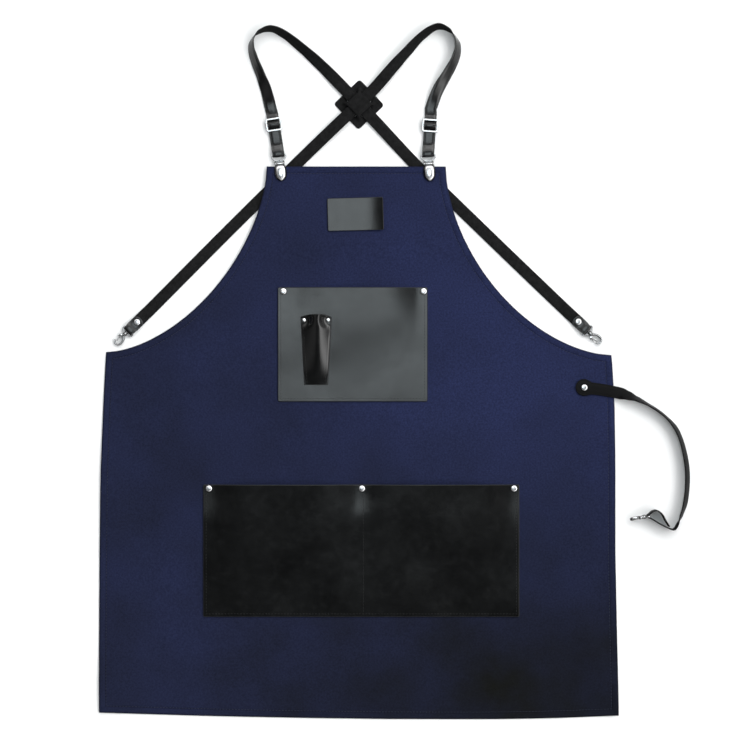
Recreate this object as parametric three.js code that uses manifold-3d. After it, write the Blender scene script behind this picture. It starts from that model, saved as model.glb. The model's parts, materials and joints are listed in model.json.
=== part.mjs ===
// Barber apron lying face up: a canvas bib apron with leather pockets, cross-back straps, clips and hooks.
// Millimetres. +X is to the right as seen from above, +Y runs from hem to shoulders, +Z is up from the floor.
import * as THREE from 'three';
import { mergeVertices } from 'three/addons/utils/BufferGeometryUtils.js';
import Module from 'manifold-3d';

const wasm = await Module();
wasm.setup();

const { smoothstep, lerp, degToRad } = THREE.MathUtils;
const vec = (x, y, z = 0) => new THREE.Vector3(x, y, z);

// Walls and clearances
const CANVAS = 1.2;
const LEATHER = 1.4;
const STRAP = 1.6;
const STRAP_WIDTH = 16;
const GAP = 0.3;
const SEAT = 0.45;
const LAYER = STRAP + GAP;
const FLOOR_GAP = 0.15;

// Apron outline: a straight skirt, superellipse armholes and a bib that lies a little left of the hem's middle
const APRON_LENGTH = 742;
const WAIST_HEIGHT = 491;
const WAIST_TILT = -0.006;
const HEM_HALF = 349;
const BIB_HALF = 120;
const BIB_SHIFT = -3;
const ARMHOLE_POWER = { left: 1.69, right: 1.75 };
// Side edges of the skirt, which wave a little: height, and distance of each edge from the hem's middle
const SIDES = [
  { y: 0, left: 348.4, right: 349.6 },
  { y: 110, left: 348.4, right: 347.4 },
  { y: 220, left: 347.8, right: 345.2 },
  { y: 330, left: 346.2, right: 345.2 },
  { y: 420, left: 342.8, right: 344.0 },
  { y: 460, left: 340.9, right: 342.0 },
  { y: WAIST_HEIGHT, left: 339, right: 339.6 },
];
const HEM_LOWEST_X = 150;
const HEM_RISE = { left: 9, right: 5 };
const APRON_COLUMNS = 20;
const SKIRT_ROWS = 10;
const ARMHOLE_ROWS = 13;
const COLUMN_CROWDING = degToRad(63);

// Soft folds of the canvas: ridge middle, direction of the ridge, its length, width and height
const FOLDS = [
  { x: 322, y: 474, angle: 12, length: 34, width: 11, height: 2.2 },
  { x: 334, y: 352, angle: 80, length: 36, width: 16, height: 1.8 },
  { x: -334, y: 300, angle: 95, length: 90, width: 18, height: 2.0 },
  { x: -330, y: 60, angle: 60, length: 60, width: 24, height: 2.6 },
  { x: 40, y: 40, angle: 85, length: 36, width: 34, height: 1.8 },
  { x: 325, y: 70, angle: 115, length: 70, width: 22, height: 3.0 },
];

// Rivets: cap radius, dome height, post radius, back plate radius and thickness, sides
const RIVET = { cap: 4.7, dome: 2.3, post: 1.6, back: 4.2, plate: 0.5, sides: 10 };
const SMALL_RIVET = { cap: 2.8, dome: 1.5, post: 1.0, back: 2.4, plate: 0.5, sides: 8 };
const RIVET_LIFT = RIVET.plate + GAP;
const RIVET_HILL = { flat: 30, foot: 120 };

// Leather pieces on the canvas
const LABEL = { x: -4, y: 678, width: 75, height: 44, turn: degToRad(1.5), corner: 2 };
const CHEST = { left: -108.2, right: 92.7, bottom: 426.7, top: 579.9, slack: 8, bays: 12, rows: 7 };
const CHEST_RIVETS = { left: { x: -100.8, y: 574.6 }, right: { x: 87.4, y: 574.6 } };
const LOWER = { left: -208.3, right: 215.9, bottom: 137.8, top: 315.2, slack: 8, bays: 9, rows: 7 };
const LOWER_RIVETS = {
  left: { x: -200.7, y: 310 },
  middle: { x: 4.6, y: 310 },
  right: { x: 208.7, y: 310 },
};
const RIVET_MARGIN = 7;
const SLEEVE = { x: -56.9, bottom: 449, top: 540.5, halfBottom: 16, halfTop: 20.8, arch: 3.2, columns: 15, rows: 6 };
const SLEEVE_TUBE = { share: 4 / 7, low: 1.0, high: 11, power: 1.7 };
const SLEEVE_RIVETS = { left: { x: -72.8, y: 536 }, right: { x: -40.6, y: 536 } };

// Bib clips: eye bar, pin, jaw and back plate, measured from the eye bar towards the hem
const BAR = 1.1;
const FOLD_RADIUS = 2.5;
const CLIP = { neck: 10.3, pin: 12.4, pinRadius: 0.75, knuckle: 1.7, end: 35.8, plate: 1.0, jaw: 1.0, ear: 1.5, back: 7.5 };
const CLIP_BAR_Z = STRAP / 2 + FOLD_RADIUS;
const BIB_LIFT = STRAP + GAP + CLIP.plate + GAP;
const BIB_LIFT_START = 560;
const BIB_LIFT_FULL = 690;
const KNUCKLE_HALF = 4.4;
const CLIP_PLACES = {
  left: { x: -107.3, y: 758, tilt: degToRad(7) },
  right: { x: 93.5, y: 758, tilt: degToRad(4) },
};
// Jaw of a bib clip: distance from the eye bar, half width and crown height over its rim
const JAW_ROWS = [
  { down: 14.6, half: 6.4, crown: 2.2 },
  { down: 17.0, half: 7.6, crown: 3.4 },
  { down: 20.0, half: 8.1, crown: 4.0 },
  { down: 24.0, half: 8.2, crown: 4.2 },
  { down: 28.0, half: 7.9, crown: 4.0 },
  { down: 31.5, half: 6.7, crown: 3.4 },
  { down: 34.2, half: 4.4, crown: 2.4 },
  { down: 35.8, half: 2.0, crown: 1.5 },
];
const JAW_COLUMNS = 7;

// Sliders: half length along the strap, half width, end bar, middle bar and thickness
const SLIDER = { half: 9, wide: 11, bar: 2.6, middle: 1.2, rail: 2.3, thick: 1.6, corner: 2 };
const SLIDER_Z = 2 * LAYER;
const SLIDER_PLACES = {
  left: { x: -113.6, y: 798.4, tilt: degToRad(9) },
  right: { x: 96.2, y: 797, tilt: degToRad(-4) },
};
// Strap height through a slider, along the strap from the slider's middle
const WEAVE = [
  { along: -9.6, z: SLIDER_Z - LAYER + STRAP / 2 },
  { along: -5.9, z: SLIDER_Z - LAYER + STRAP / 2 },
  { along: -3.7, z: SLIDER_Z + 0.9 },
  { along: -1.6, z: SLIDER_Z + 2.9 },
  { along: 0, z: SLIDER_Z + 3.2 },
  { along: 1.6, z: SLIDER_Z + 2.9 },
  { along: 3.7, z: SLIDER_Z + 0.9 },
  { along: 5.9, z: SLIDER_Z - LAYER + STRAP / 2 },
  { along: 9.6, z: SLIDER_Z - 1.6 },
  { along: 15, z: STRAP / 2 + 0.2 },
];

// Cross patch: half side, slit distance from the middle, slit half width and half length, puff of the middle
const PATCH = { x: 0.7, y: 825.6, turn: degToRad(-46.4), half: 24, slit: 14, slitHalf: 1.5, slitReach: 9.5, puff: 2 };
const PATCH_Z = 3 * LAYER;

// Shoulder straps past their sliders: place, roll from face up and rise of the lower edge off the floor
const SHOULDER_RUNS = {
  left: [
    { x: -118, y: 821, roll: 2, rise: 0 },
    { x: -124, y: 845, roll: 22, rise: 0 },
    { x: -132, y: 866.5, roll: 42, rise: 0 },
    { x: -140.5, y: 888, roll: 50, rise: 0 },
    { x: -143.8, y: 903, roll: 60, rise: 0 },
    { x: -140.5, y: 915, roll: 78, rise: 0 },
    { x: -131, y: 923.2, roll: 98, rise: 0 },
    { x: -117.3, y: 926.4, roll: 112, rise: 0 },
    { x: -101.3, y: 920.1, roll: 122, rise: 0 },
    { x: -76, y: 900.7, roll: 134, rise: 0 },
    { x: -52, y: 879.4, roll: 152, rise: 0 },
    { x: -22, y: 849.5, roll: 180, rise: LAYER },
    { x: 0.7, y: 825.6, roll: 180, rise: LAYER },
    { x: 24, y: 801, roll: 180, rise: LAYER },
    { x: 76, y: 745.5, roll: 180, rise: 0 },
    { x: 166.7, y: 656.5, roll: 180, rise: 0 },
    { x: 276, y: 551.6, roll: 180, rise: 0 },
    { x: 292.4, y: 536.2, roll: 180, rise: RIVET_LIFT },
  ],
  right: [
    { x: 97, y: 820, roll: 2, rise: 0 },
    { x: 106.6, y: 845, roll: 16, rise: 0 },
    { x: 119.3, y: 866.5, roll: 36, rise: 0 },
    { x: 130.5, y: 888, roll: 50, rise: 0 },
    { x: 133.3, y: 904, roll: 60, rise: 0 },
    { x: 129, y: 916.5, roll: 78, rise: 0 },
    { x: 119.5, y: 925.8, roll: 98, rise: 0 },
    { x: 106, y: 929.3, roll: 112, rise: 0 },
    { x: 86, y: 917.5, roll: 124, rise: 0 },
    { x: 64.2, y: 895, roll: 138, rise: 0 },
    { x: 47, y: 876, roll: 156, rise: LAYER },
    { x: 23.2, y: 848.6, roll: 180, rise: 2 * LAYER },
    { x: 0.7, y: 825.6, roll: 180, rise: 2 * LAYER },
    { x: -23, y: 803.4, roll: 180, rise: 2 * LAYER },
    { x: -82.5, y: 746.6, roll: 180, rise: 0 },
    { x: -174, y: 656.5, roll: 180, rise: 0 },
    { x: -279, y: 550.9, roll: 180, rise: 0 },
    { x: -294.6, y: 535.6, roll: 180, rise: RIVET_LIFT },
  ],
};

// Folded waist ends of the shoulder straps: the hook's eye bar and the direction that the hook points in
const NECK_WIDTH = 14;
const HOOK_FOLD = 2.4;
const HOOK_BAR_Z = STRAP / 2 + HOOK_FOLD;
const TABS = {
  left: { x: 306.1, y: 523, heading: degToRad(-43.8), hook: 'right' },
  right: { x: -308.2, y: 522.3, heading: degToRad(-136.2), hook: 'left' },
};
const TAB_RIVET_BACK = 15.5;
const TAB_LOW = [
  { back: 15.5, z: RIVET_LIFT + STRAP / 2, width: STRAP_WIDTH },
  { back: 9, z: STRAP / 2 + 0.4, width: STRAP_WIDTH },
  { back: 4, z: STRAP / 2, width: 15 },
];
const TAB_HIGH = [
  { back: 4, z: HOOK_BAR_Z + HOOK_FOLD - 0.4, width: 15 },
  { back: 8.5, z: RIVET_LIFT + LAYER + STRAP / 2 + 0.4, width: STRAP_WIDTH },
  { back: 12.5, z: RIVET_LIFT + LAYER + STRAP / 2, width: STRAP_WIDTH },
  { back: 16.5, z: RIVET_LIFT + LAYER + STRAP / 2, width: STRAP_WIDTH },
  { back: 20, z: RIVET_LIFT + LAYER + STRAP / 2, width: 13 },
  { back: 22.3, z: RIVET_LIFT + LAYER + STRAP / 2, width: 6 },
];

// Waist strap: a round riveted end on the canvas, then a run that turns onto its edge, and a folded end
const WAIST_RIVET = { x: 303, y: 445.5 };
const WAIST_RISE = canvasTop(WAIST_RIVET.x, WAIST_RIVET.y) + GAP + 0.1;
// The hook's eye stands on edge under the strap's folded end and lifts it
const WAIST_END_RISE = 1.2;
const WAIST_BAR_Z = FLOOR_GAP + WAIST_END_RISE + STRAP_WIDTH / 2;
const WAIST_ROOT = [
  { along: -11.2, width: 6 },
  { along: -9, width: 14.5 },
  { along: -5.5, width: 20.5 },
  { along: 0, width: 23 },
  { along: 5.5, width: 20.5 },
  { along: 9, width: 16.8 },
];
const WAIST_RUN = [
  { x: 317, y: 443.8, roll: 0, rise: WAIST_RISE },
  { x: 334, y: 441.2, roll: 0, rise: WAIST_RISE },
  { x: 349, y: 438.2, roll: 5, rise: WAIST_RISE },
  { x: 361, y: 434.9, roll: 42, rise: 0.8 },
  { x: 373, y: 430.3, roll: 66, rise: 0 },
  { x: 389, y: 422.2, roll: 78, rise: 0 },
  { x: 410.3, y: 407.6, roll: 80, rise: 0 },
  { x: 428, y: 386, roll: 72, rise: 0 },
  { x: 440.4, y: 338, roll: 69, rise: 0 },
  { x: 438.6, y: 294, roll: 68, rise: 0 },
  { x: 433.2, y: 275.6, roll: 72, rise: 0 },
  { x: 427.2, y: 261.6, roll: 90, rise: 0 },
  { x: 424.4, y: 257.2, roll: 90, rise: 0.5 * WAIST_END_RISE },
  { x: 421.4, y: 255.4, roll: 90, rise: WAIST_END_RISE },
  { x: 417.6, y: 256.3, roll: 90, rise: WAIST_END_RISE },
  { x: 403.2, y: 263.3, roll: 90, rise: WAIST_END_RISE },
  { x: 395, y: 268.4, roll: 90, rise: WAIST_END_RISE },
];
const WAIST_RETURN = [
  { x: 393.6, y: 279.8, roll: 90, rise: WAIST_END_RISE },
  { x: 399, y: 281, roll: 90, rise: WAIST_END_RISE },
  { x: 406, y: 276.2, roll: 90, rise: WAIST_END_RISE },
  { x: 410.6, y: 268, roll: 90, rise: WAIST_END_RISE },
  { x: 415.6, y: 259.9, roll: 90, rise: WAIST_END_RISE },
];
const WAIST_HOOK = { x: 389.5, y: 273.5, heading: degToRad(-169.6) };

// Snap hooks: distances along the hook from its eye bar, and radii of its turning parts
const HOOK_EYE = { bar: 1.0, wide: 8.8, inner: 7.4, shoulder: 3.3, opening: 5.3, end: 6.6, thick: 2.0 };
const COLLAR = { from: 5.3, to: 8.0, outer: 2.9, bore: 1.65, sides: 12 };
const STEM = { head: 2.3, from: 4.0, under: 5.0, radius: 1.3, to: 9.5 };
const CLAW = { neck: 8.3, neckHalf: 2.4, thick: 4.2, bowX: -0.6, bowY: 20.4, outer: 5.9, inner: 3.5, tip: degToRad(15) };
const PIVOT = { x: 3.1, y: 11.9, boss: 2.3, pin: 0.7, bore: 1.0, knuckle: 1.9 };
const GATE = { endX: 1.4, endY: 21.2, endHalf: 0.9, thick: 1.9, slot: 2.5, tabX: 5.3, tabY: 16 };

// Finishes
const FINISHES = {
  canvas: { color: 0x262c46, roughness: 0.92, metalness: 0 },
  pocketLeather: { color: 0x1c1e20, roughness: 0.42, metalness: 0 },
  strapLeather: { color: 0x161718, roughness: 0.5, metalness: 0 },
  chrome: { color: 0xd6d8da, roughness: 0.16, metalness: 1 },
};

// Solids

// A geometry with shared positions only and no collapsed triangles
function welded(geometry) {
  const bare = geometry.clone();
  bare.deleteAttribute('normal');
  bare.deleteAttribute('uv');
  const merged = mergeVertices(bare, 1e-4);
  const corners = merged.index.array;
  const kept = [];
  for (let first = 0; first < corners.length; first += 3) {
    const [a, b, c] = corners.slice(first, first + 3);
    if (a !== b && b !== c && c !== a) {
      kept.push(a, b, c);
    }
  }
  merged.setIndex(kept);
  return merged;
}

function solid(geometry) {
  const shape = welded(geometry);
  return new wasm.Manifold(new wasm.Mesh({
    numProp: 3,
    vertProperties: new Float32Array(shape.attributes.position.array),
    triVerts: new Uint32Array(shape.index.array),
  }));
}

function geometryOf(body) {
  const mesh = body.getMesh();
  const geometry = new THREE.BufferGeometry();
  geometry.setAttribute('position', new THREE.BufferAttribute(mesh.vertProperties, 3));
  geometry.setIndex(new THREE.BufferAttribute(mesh.triVerts, 1));
  return geometry;
}

function join(...geometries) {
  return geometryOf(geometries.map(solid).reduce((whole, piece) => whole.add(piece)));
}

function cut(geometry, ...tools) {
  return geometryOf(tools.map(solid).reduce((rest, tool) => rest.subtract(tool), solid(geometry)));
}

// A closed sheet on a grid: place(i, j) gives a grid node's low and high points, keep(i, j) says which cells stay
function sheetBody(columns, rows, place, keep = () => true) {
  const points = [];
  for (let j = 0; j < rows; j += 1) {
    for (let i = 0; i < columns; i += 1) {
      const { low, high } = place(i, j);
      points.push(low, high);
    }
  }
  const node = (i, j, layer) => 2 * (j * columns + i) + layer;
  const kept = (i, j) => i >= 0 && j >= 0 && i < columns - 1 && j < rows - 1 && keep(i, j);
  const faces = [];
  const quad = (a, b, c, d) => faces.push(a, b, c, a, c, d);
  for (let j = 0; j < rows - 1; j += 1) {
    for (let i = 0; i < columns - 1; i += 1) {
      if (!kept(i, j)) {
        continue;
      }
      const corners = [[i, j], [i + 1, j], [i + 1, j + 1], [i, j + 1]];
      const neighbours = [[i, j - 1], [i + 1, j], [i, j + 1], [i - 1, j]];
      const [a, b, c, d] = corners;
      quad(node(...a, 1), node(...b, 1), node(...c, 1), node(...d, 1));
      quad(node(...a, 0), node(...d, 0), node(...c, 0), node(...b, 0));
      neighbours.forEach((neighbour, edge) => {
        const from = corners[edge];
        const to = corners[(edge + 1) % 4];
        if (!kept(...neighbour)) {
          quad(node(...from, 0), node(...to, 0), node(...to, 1), node(...from, 1));
        }
      });
    }
  }
  const geometry = new THREE.BufferGeometry().setFromPoints(points);
  geometry.setIndex(faces);
  return geometry;
}

// A flat plate of a shape, from z = 0 up, with small chamfers
function plate(shape, thick, chamfer, segments = 4) {
  const geometry = new THREE.ExtrudeGeometry(shape, {
    depth: thick - 2 * chamfer,
    bevelThickness: chamfer,
    bevelSize: chamfer,
    bevelOffset: -chamfer,
    bevelSegments: 1,
    curveSegments: segments,
  });
  return geometry.translate(0, 0, chamfer);
}

function polygon(points) {
  return points.map(([x, y]) => new THREE.Vector2(x, y));
}

function block(x, y, z) {
  const geometry = new THREE.BoxGeometry(x[1] - x[0], y[1] - y[0], z[1] - z[0]);
  return geometry.translate((x[0] + x[1]) / 2, (y[0] + y[1]) / 2, (z[0] + z[1]) / 2);
}

// Round bars along X and Z
function barX(radius, half, y, z, sides = 12) {
  return new THREE.CylinderGeometry(radius, radius, 2 * half, sides).rotateZ(Math.PI / 2).translate(0, y, z);
}

function barZ(radius, low, high, x, y, sides = 12) {
  const bar = new THREE.CylinderGeometry(radius, radius, high - low, sides).rotateX(Math.PI / 2);
  return bar.translate(x, y, (low + high) / 2);
}

function rivetHole(size, { x, y }) {
  return barZ(size.post + GAP, -5, 30, x, y, size.sides);
}

// A rivet about Z: a back plate under the lowest face, a post and a domed cap over the highest face
function rivet(size, { x, y }, lowest, highest) {
  const plateTop = lowest - GAP;
  const capLow = highest + GAP;
  const profile = polygon([
    [0, plateTop - size.plate],
    [size.back, plateTop - size.plate],
    [size.back, plateTop],
    [size.post, plateTop],
    [size.post, capLow],
    [size.cap, capLow],
    [size.cap * 0.86, capLow + size.dome * 0.66],
    [0, capLow + size.dome],
  ]);
  return welded(new THREE.LatheGeometry(profile, size.sides)).rotateX(Math.PI / 2).translate(x, y, 0);
}

// Canvas

function foldHeight(x, y) {
  return FOLDS.reduce((sum, fold) => {
    const turn = degToRad(fold.angle);
    const along = (x - fold.x) * Math.cos(turn) + (y - fold.y) * Math.sin(turn);
    const across = (y - fold.y) * Math.cos(turn) - (x - fold.x) * Math.sin(turn);
    return sum + fold.height * Math.exp(-((along / fold.length) ** 2) - (across / fold.width) ** 2);
  }, 0);
}

// Height of the canvas's underside: it lies over the rivets' back plates and, at the bib, over straps and clips
function canvasUnder(x, y) {
  const rivets = [...Object.values(CHEST_RIVETS), ...Object.values(LOWER_RIVETS), WAIST_RIVET];
  const hills = rivets.map((spot) => {
    const distance = Math.hypot(x - spot.x, y - spot.y);
    return RIVET_LIFT * (1 - smoothstep(distance, RIVET_HILL.flat, RIVET_HILL.foot));
  });
  const bib = BIB_LIFT * smoothstep(y, BIB_LIFT_START, BIB_LIFT_FULL);
  return Math.max(bib, ...hills) + foldHeight(x, y);
}

function canvasTop(x, y) {
  return canvasUnder(x, y) + CANVAS;
}

// Distance of a skirt edge from the hem's middle at a height
function skirtHalf(side, y) {
  const next = Math.max(1, SIDES.findIndex((row) => row.y >= y));
  const [low, high] = [SIDES[next - 1], SIDES[next]];
  return lerp(low[side], high[side], (y - low.y) / (high.y - low.y));
}

// How far an armhole has come in towards the bib at a height over the waist: 0 at the waist, 1 at the bib's top
function armholeInset(side, y) {
  const below = Math.min(1, (APRON_LENGTH - y) / (APRON_LENGTH - WAIST_HEIGHT));
  return (1 - below ** ARMHOLE_POWER[side]) ** (1 / ARMHOLE_POWER[side]);
}

// Rows of the outline from hem to bib top: height, left edge and right edge
function outlineRows() {
  const rows = [];
  for (let step = 0; step < SKIRT_ROWS; step += 1) {
    const y = (step / SKIRT_ROWS) * WAIST_HEIGHT;
    rows.push({ y, left: -skirtHalf('left', y), right: skirtHalf('right', y) });
  }
  for (let step = 0; step <= ARMHOLE_ROWS; step += 1) {
    const angle = (Math.PI / 2) * (1 - step / ARMHOLE_ROWS);
    const y = APRON_LENGTH - (APRON_LENGTH - WAIST_HEIGHT) * Math.sin(angle) ** (2 / ARMHOLE_POWER.right);
    rows.push({
      y,
      left: lerp(-skirtHalf('left', WAIST_HEIGHT), BIB_SHIFT - BIB_HALF, armholeInset('left', y)),
      right: lerp(skirtHalf('right', WAIST_HEIGHT), BIB_SHIFT + BIB_HALF, armholeInset('right', y)),
    });
  }
  return rows;
}

function hemRise(x) {
  const right = x > HEM_LOWEST_X;
  const edge = right ? HEM_HALF : -HEM_HALF;
  const share = (x - HEM_LOWEST_X) / (edge - HEM_LOWEST_X);
  return (right ? HEM_RISE.right : HEM_RISE.left) * share ** 2;
}

function apronBody() {
  const rows = outlineRows();
  const place = (i, j) => {
    const { y: level, left, right } = rows[j];
    const spread = lerp(-1, 1, i / (APRON_COLUMNS - 1));
    const share = (1 + Math.sin(spread * COLUMN_CROWDING) / Math.sin(COLUMN_CROWDING)) / 2;
    const x = lerp(left, right, share);
    const hemShare = Math.max(0, 1 - level / WAIST_HEIGHT);
    const waistShare = 1 - Math.min(1, Math.abs(level - WAIST_HEIGHT) / (APRON_LENGTH - WAIST_HEIGHT));
    const y = level + hemRise(x) * hemShare + WAIST_TILT * x * waistShare;
    return { low: vec(x, y, canvasUnder(x, y)), high: vec(x, y, canvasTop(x, y)) };
  };
  const holes = [...Object.values(CHEST_RIVETS), ...Object.values(LOWER_RIVETS), WAIST_RIVET];
  return cut(sheetBody(APRON_COLUMNS, rows.length, place), ...holes.map((spot) => rivetHole(RIVET, spot)));
}

// Leather panels

// Slack of a pocket panel between two posts: none at the posts and the bottom seam, most at the mouth's middle
function slackBetween(x, y, leftPost, rightPost, { bottom, top, slack }) {
  const middle = (leftPost + rightPost) / 2;
  const reach = (rightPost - leftPost) / 2 - RIVET_MARGIN;
  const across = Math.min(1, Math.abs(x - middle) / reach);
  const up = (y - bottom) / (top - bottom);
  return slack * (1 - across ** 2) * up ** 1.5;
}

function chestUnder(x, y) {
  return canvasTop(x, y) + SEAT + slackBetween(x, y, CHEST_RIVETS.left.x, CHEST_RIVETS.right.x, CHEST);
}

function lowerUnder(x, y) {
  const { left, middle, right } = LOWER_RIVETS;
  const [from, to] = x < middle.x ? [left.x, middle.x] : [middle.x, right.x];
  return canvasTop(x, y) + SEAT + slackBetween(x, y, from, to, LOWER);
}

// Columns of a pocket panel: even bays between neighbouring posts, with flat strips at the posts
function pocketColumns({ left, right, bays }, posts) {
  const columns = [left];
  for (let post = 0; post < posts.length - 1; post += 1) {
    for (let bay = 0; bay <= bays; bay += 1) {
      columns.push(lerp(posts[post] + RIVET_MARGIN, posts[post + 1] - RIVET_MARGIN, bay / bays));
    }
  }
  return [...columns, right];
}

function pocketPanel(pocket, rivets, under, holes) {
  const columns = pocketColumns(pocket, Object.values(rivets).map(({ x }) => x));
  const place = (i, j) => {
    const x = columns[i];
    const y = lerp(pocket.bottom, pocket.top, j / (pocket.rows - 1));
    const low = under(x, y);
    return { low: vec(x, y, low), high: vec(x, y, low + LEATHER) };
  };
  return cut(sheetBody(columns.length, pocket.rows, place), ...holes);
}

function chestPocket() {
  const holes = [
    ...Object.values(CHEST_RIVETS).map((spot) => rivetHole(RIVET, spot)),
    ...Object.values(SLEEVE_RIVETS).map((spot) => rivetHole(SMALL_RIVET, spot)),
  ];
  return pocketPanel(CHEST, CHEST_RIVETS, chestUnder, holes);
}

function lowerPocket() {
  const holes = Object.values(LOWER_RIVETS).map((spot) => rivetHole(RIVET, spot));
  return pocketPanel(LOWER, LOWER_RIVETS, lowerUnder, holes);
}

// Underside of the scissor sleeve: flat flanges on the pocket panel and a half tube that opens upwards between them
function sleeveUnder(x, y, across, up) {
  const seat = chestUnder(x, y) + LEATHER + SEAT;
  const ridge = 1 - Math.min(1, Math.abs(across) / SLEEVE_TUBE.share) ** SLEEVE_TUBE.power;
  return seat + lerp(SLEEVE_TUBE.low, SLEEVE_TUBE.high, up) * ridge;
}

function scissorSleeve() {
  const place = (i, j) => {
    const across = lerp(-1, 1, i / (SLEEVE.columns - 1));
    const up = j / (SLEEVE.rows - 1);
    const x = SLEEVE.x + across * lerp(SLEEVE.halfBottom, SLEEVE.halfTop, up);
    const y = lerp(SLEEVE.bottom, SLEEVE.top, up) + SLEEVE.arch * up * (1 - across ** 2);
    const low = sleeveUnder(x, y, across, up);
    return { low: vec(x, y, low), high: vec(x, y, low + LEATHER) };
  };
  const holes = Object.values(SLEEVE_RIVETS).map((spot) => rivetHole(SMALL_RIVET, spot));
  return cut(sheetBody(SLEEVE.columns, SLEEVE.rows, place), ...holes);
}

function labelPatch() {
  const columns = [-1, -1 + (2 * LABEL.corner) / LABEL.width, 0, 1 - (2 * LABEL.corner) / LABEL.width, 1];
  const rows = [-1, -1 + (2 * LABEL.corner) / LABEL.height, 0, 1 - (2 * LABEL.corner) / LABEL.height, 1];
  const place = (i, j) => {
    const isCorner = Math.abs(columns[i]) === 1 && Math.abs(rows[j]) === 1;
    const inset = isCorner ? LABEL.corner * (1 - Math.SQRT1_2) : 0;
    const right = columns[i] * (LABEL.width / 2 - inset);
    const up = rows[j] * (LABEL.height / 2 - inset);
    const x = LABEL.x + right * Math.cos(LABEL.turn) - up * Math.sin(LABEL.turn);
    const y = LABEL.y + right * Math.sin(LABEL.turn) + up * Math.cos(LABEL.turn);
    const low = canvasTop(x, y) + SEAT;
    return { low: vec(x, y, low), high: vec(x, y, low + LEATHER) };
  };
  return sheetBody(columns.length, rows.length, place);
}

// Cross patch in its own turned frame: rims lie under the straps, and the puffed middle lies over them
function crossPatch() {
  const { half, slit, slitHalf, slitReach, puff } = PATCH;
  const inner = slit - slitHalf;
  const outer = slit + slitHalf;
  const lines = [-half, -outer, -inner, -slitReach, 0, slitReach, inner, outer, half];
  const height = (x, y) => {
    const far = Math.max(Math.abs(x), Math.abs(y));
    const near = Math.min(Math.abs(x), Math.abs(y));
    if (far <= inner) {
      return PATCH_Z + puff * (1 - far / inner);
    }
    return PATCH_Z * (1 - smoothstep(far, inner, half)) * smoothstep(near, slitReach, inner);
  };
  const place = (i, j) => {
    const isTip = Math.abs(lines[i]) === half && Math.abs(lines[j]) === half;
    const x = lines[i] * (isTip ? 0.92 : 1);
    const y = lines[j] * (isTip ? 0.92 : 1);
    const low = height(x, y);
    return { low: vec(x, y, low), high: vec(x, y, low + LEATHER) };
  };
  const isSlit = (across, along) => Math.abs(Math.abs(across) - slit) < slitHalf && Math.abs(along) < slitReach;
  const keep = (i, j) => {
    const x = (lines[i] + lines[i + 1]) / 2;
    const y = (lines[j] + lines[j + 1]) / 2;
    return !isSlit(x, y) && !isSlit(y, x);
  };
  return sheetBody(lines.length, lines.length, place, keep);
}

// Straps

// A strap along its stations, each with a middle point, a direction across and a width
function strapBody(stations) {
  const place = (i, j) => {
    const { at, side, width } = stations[j];
    const before = stations[Math.max(j - 1, 0)].at;
    const after = stations[Math.min(j + 1, stations.length - 1)].at;
    const ahead = after.clone().sub(before).normalize();
    const across = side.clone().addScaledVector(ahead, -side.dot(ahead)).normalize();
    const outward = across.clone().cross(ahead);
    const edge = at.clone().addScaledVector(across, (i - 0.5) * width);
    return {
      low: edge.clone().addScaledVector(outward, -STRAP / 2),
      high: edge.clone().addScaledVector(outward, STRAP / 2),
    };
  };
  return sheetBody(2, stations.length, place);
}

// Stations of a strap laid through table rows: it rolls towards the inside of its bend, on its lower edge
function laidStations(rows, hand, stepsPerRow) {
  const path = new THREE.CatmullRomCurve3(rows.map(({ x, y }) => vec(x, y)));
  const pose = new THREE.CatmullRomCurve3(rows.map(({ roll, rise }) => vec(roll, rise)), false, 'catmullrom', 0);
  const steps = (rows.length - 1) * stepsPerRow;
  const stations = [];
  for (let step = 0; step <= steps; step += 1) {
    const at = path.getPoint(step / steps);
    const ahead = path.getTangent(step / steps);
    const { x: roll, y: rise } = pose.getPoint(step / steps);
    const turn = degToRad(roll);
    const side = vec(ahead.y * hand * Math.cos(turn), -ahead.x * hand * Math.cos(turn), Math.sin(turn));
    at.z = FLOOR_GAP + rise + (Math.sin(turn) * STRAP_WIDTH + Math.abs(Math.cos(turn)) * STRAP) / 2;
    stations.push({ at, side, width: STRAP_WIDTH });
  }
  return stations;
}

// Half a turn of strap round a bar, out past the bar from its lower side to its upper side
function foldStations(bar, outward, upward, radius, side, width) {
  const steps = 6;
  return Array.from({ length: steps + 1 }, (_, step) => {
    const angle = Math.PI * (step / steps - 0.5);
    const at = bar.clone();
    at.addScaledVector(outward, radius * Math.cos(angle));
    at.addScaledVector(upward, radius * Math.sin(angle));
    return { at, side, width };
  });
}

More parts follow.
